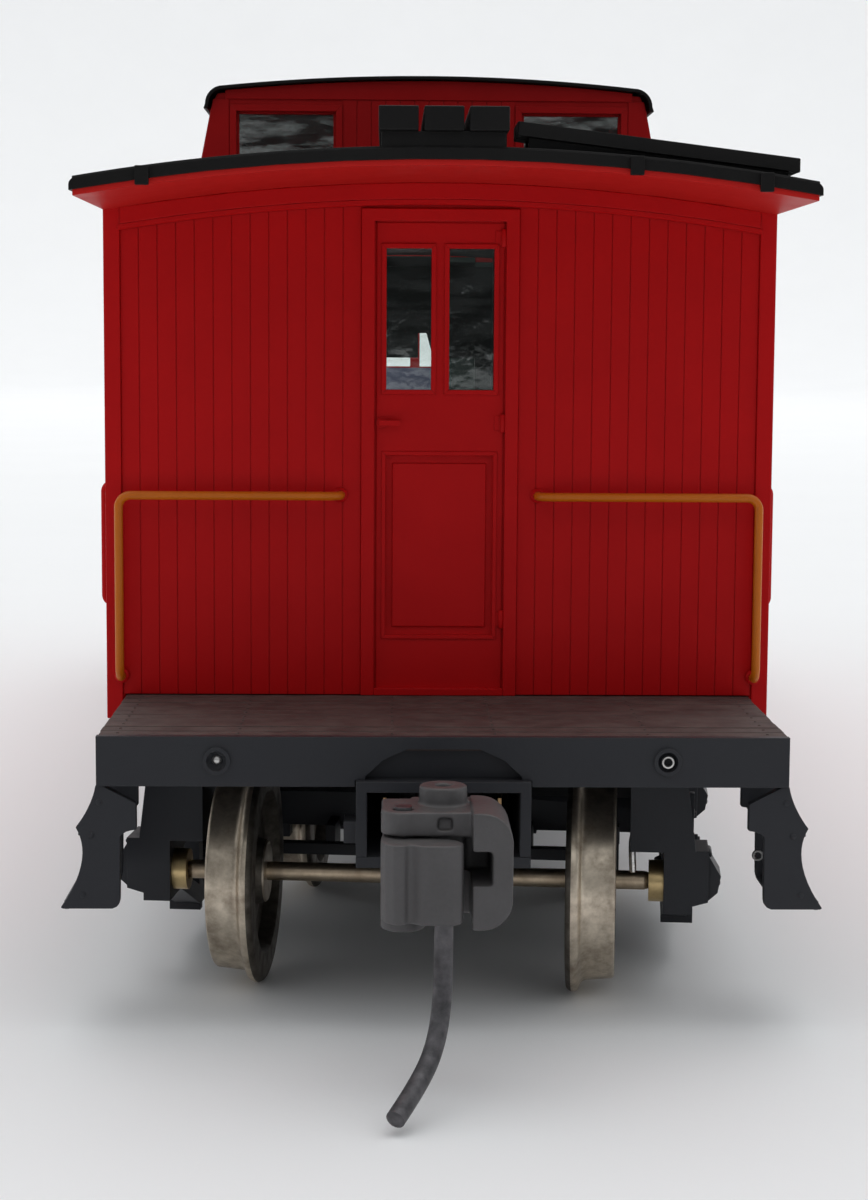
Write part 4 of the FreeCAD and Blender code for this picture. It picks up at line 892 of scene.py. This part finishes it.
def step_pair(bm, side):
    """Two ribbed treads between a pair of stringers at a near corner."""
    thick = 0.5
    front = STEP_LOW.y
    back = -58.75
    for inner_x, y in ((14.45, front), (14.95, back - thick)):
        outline = [(side * x, y, z) for x, z in stringer_outline(inner_x)]
        slab(bm, outline, (0, thick, 0))
    for x0, x1, z in ((14.5, 16.3, 9.2), (15.0, 16.95, 5.85)):
        bar(bm, (side * x0, front + 0.1, z - 0.2), (side * x1, back - 0.1, z))
        bar(bm, (side * x1, front + 0.1, z - 0.34), (side * (x1 - 0.22), back - 0.1, z + 0.06))
        for k in range(4):
            x = side * (x0 + 0.3 + 0.36 * k)
            bar(bm, (x - 0.07, front + thick, z - 0.02), (x + 0.07, back - thick, z + 0.1))
    bar(bm, (side * 14.3, back - thick, 10.2), (side * 15.0, back, 12.0))
    for x, z in ((15.35, 10.4), (15.7, 8.9), (16.1, 6.2)):
        for y in (front, back - thick):
            rivet(bm, (side * x, y, z), (0, -1, 0), 0.14)


def steps():
    """The four sets of steps."""
    for end in END_NAMES:
        bm = bmesh.new()
        for side in SIDES:
            step_pair(bm, side)
        if end == FAR:
            turned_half_round(bm)
        name = END_NAMES[end] + "_steps"
        add_piece(name, bm, "car_body", "frame_black", rounding=0.04, stands_for=["steps"])


def sill_hardware(end):
    """Bright bolt ends in the push-pole pockets and a ring by the right-hand step."""
    bm = bmesh.new()
    face = SILL_LOW.y
    rivet(bm, (-10.1, face + 0.42, 12.3), (0, -1, 0), 0.24, 16)
    pocket_ring = [(0.0, 0.17), (0.0, 0.3), (0.12, 0.27), (0.12, 0.2)]
    step_ring = [(-0.02, 0.14), (-0.02, 0.28), (0.1, 0.25), (0.1, 0.17)]
    turned_ring(bm, pocket_ring, facing((0, -1, 0), (10.0, face + 0.12, 12.3)), 24)
    turned_ring(bm, step_ring, facing((0, -1, 0), (15.02, -59.25, 6.83)), 24)
    if end == FAR:
        turned_half_round(bm)
    add_piece(END_NAMES[end] + "_sill_hardware", bm, "car_body", "screw_steel", finish=BRIGHT_HARDWARE)


def rail_sockets():
    """Small collars where the end grab irons and side handrails enter the walls."""
    bm = bmesh.new()
    collar = [(-0.05, 0.36), (0.08, 0.36), (0.16, 0.27)]
    for side in SIDES:
        places = []
        for end in END_NAMES:
            places.append(((0, end, 0), (side * 4.85, end * (WALL_FACE_Y + 0.08), 23.35)))
            places.append(((0, end, 0), (side * 15.65, end * (WALL_FACE_Y + 0.2), 14.35)))
            for z in (17.7, 23.7):
                places.append(((side, 0, 0), (side * (WALL_FACE_X + 0.07), end * 50.0, z)))
        for way, spot in places:
            turned(bm, collar, facing(way, spot), 18)
    add_piece("rail_sockets", bm, "car_body", "body_red")


# ---- inside the body

LINING_LOW_Z = 13.5


def interior_lining():
    """Dark panels on the inside of the walls, cut round the doors and windows."""
    bm = bmesh.new()
    thick = 0.12
    high_z = 36.9
    win_low = 24.3
    win_high = 32.5
    over_door = [(DOOR_HALF, DOOR_TOP_Z + 0.1, 38.65)]
    over_door += [(5.5, high_z + 0.02, 38.6), (10.0, high_z + 0.02, 38.15)]
    panels = [(-INSIDE_Y, INSIDE_Y, LINING_LOW_Z, win_low), (-INSIDE_Y, INSIDE_Y, win_high, high_z)]
    for y0, y1 in ((-INSIDE_Y, -35.0), (-29.0, 29.0), (35.0, INSIDE_Y)):
        panels.append((y0, y1, win_low, win_high))
    for side in SIDES:
        outer = side * INSIDE_X
        inner = side * (INSIDE_X - thick)
        for y0, y1, z0, z1 in panels:
            bar(bm, (outer, y0, z0), (inner, y1, z1))
        for end in END_NAMES:
            end_y = end * INSIDE_Y
            bar(bm, (side * DOOR_HALF, end_y, LINING_LOW_Z), (inner, end_y - end * thick, high_z))
    for end in END_NAMES:
        for half, foot, top in over_door:
            bar(bm, (-half, end * INSIDE_Y, foot), (half, end * (INSIDE_Y - thick), top))
    add_piece("interior_lining", bm, "car_body", "interior_green")


def door_linings():
    """A paler panel on the inside of each door, under its panes."""
    bm = bmesh.new()
    for end in END_NAMES:
        outer = end * (DOOR_FACE_Y - 0.72)
        inner = end * (DOOR_FACE_Y - 0.85)
        bar(bm, (-3.0, outer, LINING_LOW_Z), (3.0, inner, PANE_LOW.z - 0.1))
    add_piece("door_linings", bm, "car_body", "interior_green", finish=PALE_INTERIOR)


# ---- trucks

def joint_named(name):
    """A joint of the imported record."""
    return next(joint for joint in frame["joints"] if joint["name"] == name)


def truck_place(name, wheelset):
    """A truck's own place: its pivot, and the way its axles point at rest."""
    pivot = Vector(joint_named(name + "_swivel")["pos_m"]) / MM
    axis = joint_named("wheelset_%d_roll" % wheelset)["axis"]
    turn = Matrix.Rotation(math.atan2(axis[1], axis[0]), 4, "Z")
    return Matrix.Translation((0, pivot.y, 0)) @ turn


AXLE_Z = 5.35
TREAD_R = 4.75
BACK_TO_BACK = 14.5
WHEEL_WIDTH = 2.3


def arc_run(along, radius, size, start, stop, steps):
    """Points on a round corner of a turned profile; angles in degrees from the along direction."""
    points = []
    for step in range(steps + 1):
        angle = math.radians(start + (stop - start) * step / steps)
        points.append((along + size * math.cos(angle), radius + size * math.sin(angle)))
    return points


def wheel_profile():
    """Round the section of a wheel: hub, dished back, flange, tread, rim and dished face."""
    bore = 0.46
    profile = [(0.0, bore), (0.0, 1.42), (0.08, 1.5), (0.5, 1.62), (0.62, 1.9), (0.78, 3.4), (0.7, 3.62)]
    profile += [(0.1, 3.86), (0.0, 3.95), (0.0, 4.95)]
    profile += arc_run(0.33, 5.02, 0.33, 180, 40, 9)
    profile += arc_run(1.02, 5.13, 0.36, 205, 268, 5)
    profile += [(1.6, TREAD_R - 0.04), (WHEEL_WIDTH - 0.2, TREAD_R - 0.08)]
    profile += arc_run(WHEEL_WIDTH - 0.18, TREAD_R - 0.26, 0.18, 80, 0, 4)
    profile += [(WHEEL_WIDTH, 4.02), (WHEEL_WIDTH - 0.08, 3.94), (1.82, 3.78), (1.7, 3.6), (1.42, 1.9)]
    profile += [(1.48, 1.7), (WHEEL_WIDTH - 0.12, 1.5), (WHEEL_WIDTH, 1.38), (WHEEL_WIDTH, bore)]
    return profile


def wheels(number, truck):
    """One wheelset's two wheels, turned smooth, with bright treads and dull faces."""
    spot = Vector(joint_named("wheelset_%d_roll" % number)["pos_m"]) / MM
    bm = bmesh.new()
    for side in SIDES:
        profile = [(side * (BACK_TO_BACK / 2 + along), radius) for along, radius in wheel_profile()]
        turned_ring(bm, profile, Matrix.Identity(4))
    place = Matrix.Translation(spot) @ truck.to_3x3().to_4x4()
    name = "wheelset_%d" % number
    stands_for = [name + "_wheels"]
    piece = add_piece(name + "_turned_wheels", bm, name, "wheel_nickel", stands_for=stands_for, place=place)
    piece.data.materials.append(WHEEL_FACE)
    for face in piece.data.polygons:
        middle = face.center / MM
        radius = math.hypot(middle.y, middle.z)
        along = abs(middle.x) - BACK_TO_BACK / 2
        on_tread = radius > TREAD_R - 0.3 and along > 0.3
        if not on_tread and radius > 1.55:
            face.material_index = 1


def coil_spring(bm, x, y):
    """One of the bolster's coil springs: five turns of wire."""
    points = []
    for step in range(81):
        angle = 2 * math.pi * step / 16
        points.append((x + 0.84 * math.cos(angle), y + 0.84 * math.sin(angle), 3.1 + 2.7 * step / 80))
    wire(bm, points, 0.13, 8)


def truck_fittings(name, truck):
    """Journal lid hinges and bolts, coil springs and column nuts."""
    bm = bmesh.new()
    lid_hinge = [(-0.8, 0.1), (-0.76, 0.13), (0.76, 0.13), (0.8, 0.1)]
    for side in SIDES:
        for y in (-10.0, 10.0):
            rivet(bm, (side * 14.38, y, AXLE_Z), (side, 0, 0.1), 0.2, 14)
            turned(bm, lid_hinge, facing((0, 1, 0), (side * 13.95, y, AXLE_Z + 1.48)), 12)
        for y in (-11.0, -6.2, 6.2, 11.0):
            bolt(bm, (side * 12.3, y, 10.28), (0, 0, 1), 0.5)
        for y in (-3.2, 3.2):
            for z in (3.4, 6.0):
                bolt(bm, (side * 13.38, y, z), (side, 0, 0), 0.42)
        for y in (-1.2, 1.2):
            coil_spring(bm, side * 12.45, y)
    bmesh.ops.transform(bm, matrix=truck, verts=bm.verts)
    add_piece(name + "_fittings", bm, name, "frame_black")


def hooked_pins(name, truck):
    """Two bright pins with hooked tops, at opposite corners of a truck."""
    bm = bmesh.new()
    bend = [(10.35, -10.6, 5.9), (10.3, -10.6, 6.8), (10.3, -10.6, 7.5), (10.45, -10.6, 7.85)]
    bend += [(10.8, -10.6, 7.8), (10.95, -10.6, 7.45)]
    for turn in (truck, truck @ HALF_TURN):
        wire(bm, [turn @ point for point in smooth_run(bend)], 0.17, 12)
    add_piece(name + "_hooked_pins", bm, name, "screw_steel", finish=BRIGHT_HARDWARE)


# ---- couplers

def trip_wire(end):
    """The curved wire that hangs from the knuckle."""
    bm = bmesh.new()
    route = [(-0.2, -74.6, 9.3), (-0.2, -74.6, 7.0), (-0.2, -74.62, 4.4), (-0.5, -75.6, 2.6)]
    route += [(-1.2, -77.2, 1.5), (-2.15, -79.0, 0.66)]
    wire(bm, smooth_run(route, 12), 0.4, 20)
    if end == FAR:
        turned_half_round(bm)
    name = END_NAMES[end]
    add_piece(name + "_trip_wire", bm, name + "_knuckle", "trip_wire", stands_for=[name + "_trip_pin"])


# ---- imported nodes: finishes and softened edges

ROUNDED_NODES = {
    0.03: ["door_handles"],
    0.04: ["end_doors", "roof_brackets"],
    0.05: ["body_shell", "draft_boxes", "draft_box_lids", "running_board_saddles", "window_frames",
           "lateral_running_boards", "floor_framing", "near_truck_brake_beams", "far_truck_brake_beams",
           "underframe"],
    0.06: ["running_boards", "near_truck_sideframes", "far_truck_sideframes", "near_truck_bolster",
           "far_truck_bolster", "interior_bulkheads", "floor_weight"],
    0.07: ["end_sills"],
}
# The canopy soffits take the paler red as painted light.
# The cupola shell takes the darker red as painted shade.
OWN_FINISHES = {"cupola_shell": SHADED_CUPOLA_RED, "canopy_soffits": LIT_SOFFIT_RED, "cupola_glazing": SMEARED_GLAZING}
CAST_NODES = ["near_coupler_head", "far_coupler_head", "near_knuckle", "far_knuckle"]


def welded(name):
    """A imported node, with the seams between its faces closed, so that its edges can be worked."""
    node = frame["nodes"][name]
    node.modifiers.new("closed seams", "WELD").merge_threshold = 0.002 * MM
    return node


def finish_packed_nodes():
    """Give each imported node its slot's finish, round the moulded ones and soften the castings."""
    for part in frame["record"]["subparts"]:
        node = frame["nodes"][part["node"]]
        finish = OWN_FINISHES.get(part["node"], FINISHES[part["material_slot"]])
        for index in range(len(node.data.materials)):
            node.data.materials[index] = finish
    for width, names in ROUNDED_NODES.items():
        for name in names:
            round_edges(welded(name), width)
    for name in CAST_NODES:
        node = welded(name)
        cast = node.modifiers.new("cast form", "REMESH")
        cast.mode = "VOXEL"
        cast.voxel_size = 0.06 * MM
        cast.use_smooth_shade = True
        soft = node.modifiers.new("soft corners", "SMOOTH")
        soft.factor = 0.5
        soft.iterations = 16


# ---- floor, lights and camera

EYE = Vector((-2.594, -167.916, 30.92))
LOOK_DOWN = math.radians(6.305)
LOOK_RIGHT = math.radians(1.176)
LEAN = math.radians(0.36)
SENSOR = 36.0
LENS = 70.418


def add_camera():
    """A camera at the near end, level with the door's panes and looking a little down."""
    ahead = Vector((math.sin(LOOK_RIGHT), math.cos(LOOK_RIGHT), 0.0))
    forward = ahead * math.cos(LOOK_DOWN) - Vector((0.0, 0.0, math.sin(LOOK_DOWN)))
    level = Vector((math.cos(LOOK_RIGHT), -math.sin(LOOK_RIGHT), 0.0))
    upright = level.cross(forward)
    right = level * math.cos(LEAN) + upright * math.sin(LEAN)
    top = upright * math.cos(LEAN) - level * math.sin(LEAN)
    lens = bpy.data.cameras.new("camera")
    lens.sensor_width = SENSOR
    lens.lens = LENS
    lens.clip_start = 1 * MM
    lens.clip_end = 10.0
    camera = bpy.data.objects.new("camera", lens)
    turn = Matrix((right, top, -forward)).transposed().to_4x4()
    camera.matrix_world = Matrix.Translation(EYE * MM) @ turn
    bpy.context.scene.collection.objects.link(camera)
    bpy.context.scene.camera = camera


def add_floor():
    """A sheet of pale card that curves up into a wall behind and at the sides, and runs flat in front."""
    flat = 1300.0
    bend = 500.0
    profile = [(0.0, 1.0), (0.0, 300.0), (0.0, flat)]
    for step in range(1, 17):
        angle = math.pi / 2 * step / 16
        profile.append((bend - bend * math.cos(angle), flat + bend * math.sin(angle)))
    profile.append((620.0, flat + bend))
    bm = bmesh.new()
    rings = []
    for height, radius in profile:
        ring = []
        for across, along in round_points(96):
            rise = min(max((along + 0.38) / 0.16, 0.0), 1.0)
            ring.append((radius * across, radius * along, height * rise))
        rings.append(ring)
    made = skin(bm, rings, caps=False)
    bm.faces.new(made[0])
    bmesh.ops.recalc_face_normals(bm, faces=bm.faces)
    bmesh.ops.scale(bm, vec=(MM, MM, MM), verts=bm.verts)
    mesh = bpy.data.meshes.new("card_floor")
    bm.to_mesh(mesh)
    bm.free()
    mesh.shade_smooth()
    material, tree = new_finish("pale_card")
    patches = effect(tree, MOTTLE, Per_mm=0.02, Hardness=0.1)["Mask"]
    colour = blended(tree, patches, rgb(0.86, 0.865, 0.87), rgb(0.88, 0.885, 0.89))
    grain = effect(tree, FINE_GRAIN, Per_mm=2.0)["Height"]
    surfaced(tree, colour, 0.7, bumped(tree, grain, 0.01))
    mesh.materials.append(material)
    floor = bpy.data.objects.new("card_floor", mesh)
    bpy.context.scene.collection.objects.link(floor)


def add_soft_box(name, spot, target, width, height, watts):
    """A soft box pointed at a spot on the car."""
    light = bpy.data.lights.new(name, "AREA")
    light.shape = "RECTANGLE"
    light.size = width * MM
    light.size_y = height * MM
    light.energy = watts
    lamp = bpy.data.objects.new(name, light)
    lamp.location = Vector(spot) * MM
    aim = Vector(target) - Vector(spot)
    lamp.rotation_euler = aim.to_track_quat("-Z", "Y").to_euler()
    lamp.visible_camera = False
    bpy.context.scene.collection.objects.link(lamp)


def add_lights():
    """A large box overhead, a wash on the wall behind, and a faint glow inside the car."""
    add_soft_box("overhead_box", (40, 260, 1250), (0, 60, 0), 1300, 1300, 5.4)
    add_soft_box("wall_wash", (0, 900, 1100), (0, 1750, 250), 1600, 300, 4.8)
    add_soft_box("far_room_glow", (-7, 38, 35), (-1, 51, 27), 8, 3, 0.0009)
    add_soft_box("near_room_glow", (9, -44, 35.5), (4, -15, 28), 8, 3, 0.0003)
    room = bpy.data.worlds.new("pale_room")
    room.use_nodes = True
    tree = room.node_tree
    tree.nodes.clear()
    way = put(tree, "TexCoord").outputs["Generated"]
    parts = put(tree, "SeparateXYZ", {0: way}).outputs
    from_above = ranged(tree, parts["Z"], 0.05, 0.6, 0.12, 0.9)
    from_behind = ranged(tree, parts["Y"], -0.8, 0.1, 0.75, 1.0)
    strength = maths(tree, "MULTIPLY", from_above, from_behind)
    seen = put(tree, "LightPath").outputs["Is Camera Ray"]
    strength = maths(tree, "MAXIMUM", strength, maths(tree, "MULTIPLY", seen, 0.86))
    glow = put(tree, "Background", {"Color": rgb(0.97, 0.985, 1.0), "Strength": strength})
    put(tree, "OutputWorld", {"Surface": glow.outputs[0]})
    bpy.context.scene.world = room
    bpy.context.scene.view_settings.view_transform = "Standard"


# ---- build everything

for car_end in END_NAMES:
    end_sheathing(car_end)
    door_mouldings(car_end)
    eave_moulding(car_end)
    deck_planks(car_end)
    sill_hardware(car_end)
    trip_wire(car_end)
for car_side in SIDES:
    side_sheathing(car_side)
cupola_boards()
cupola_cover()
roof_battens()
walkway_bolts()
steps()
rail_sockets()
interior_lining()
door_linings()
for truck_name, wheelsets in (("near_truck", (1, 2)), ("far_truck", (3, 4))):
    own_place = truck_place(truck_name, wheelsets[0])
    truck_fittings(truck_name, own_place)
    hooked_pins(truck_name, own_place)
    for wheelset_number in wheelsets:
        wheels(wheelset_number, own_place)
finish_packed_nodes()
add_floor()
add_lights()
add_camera()
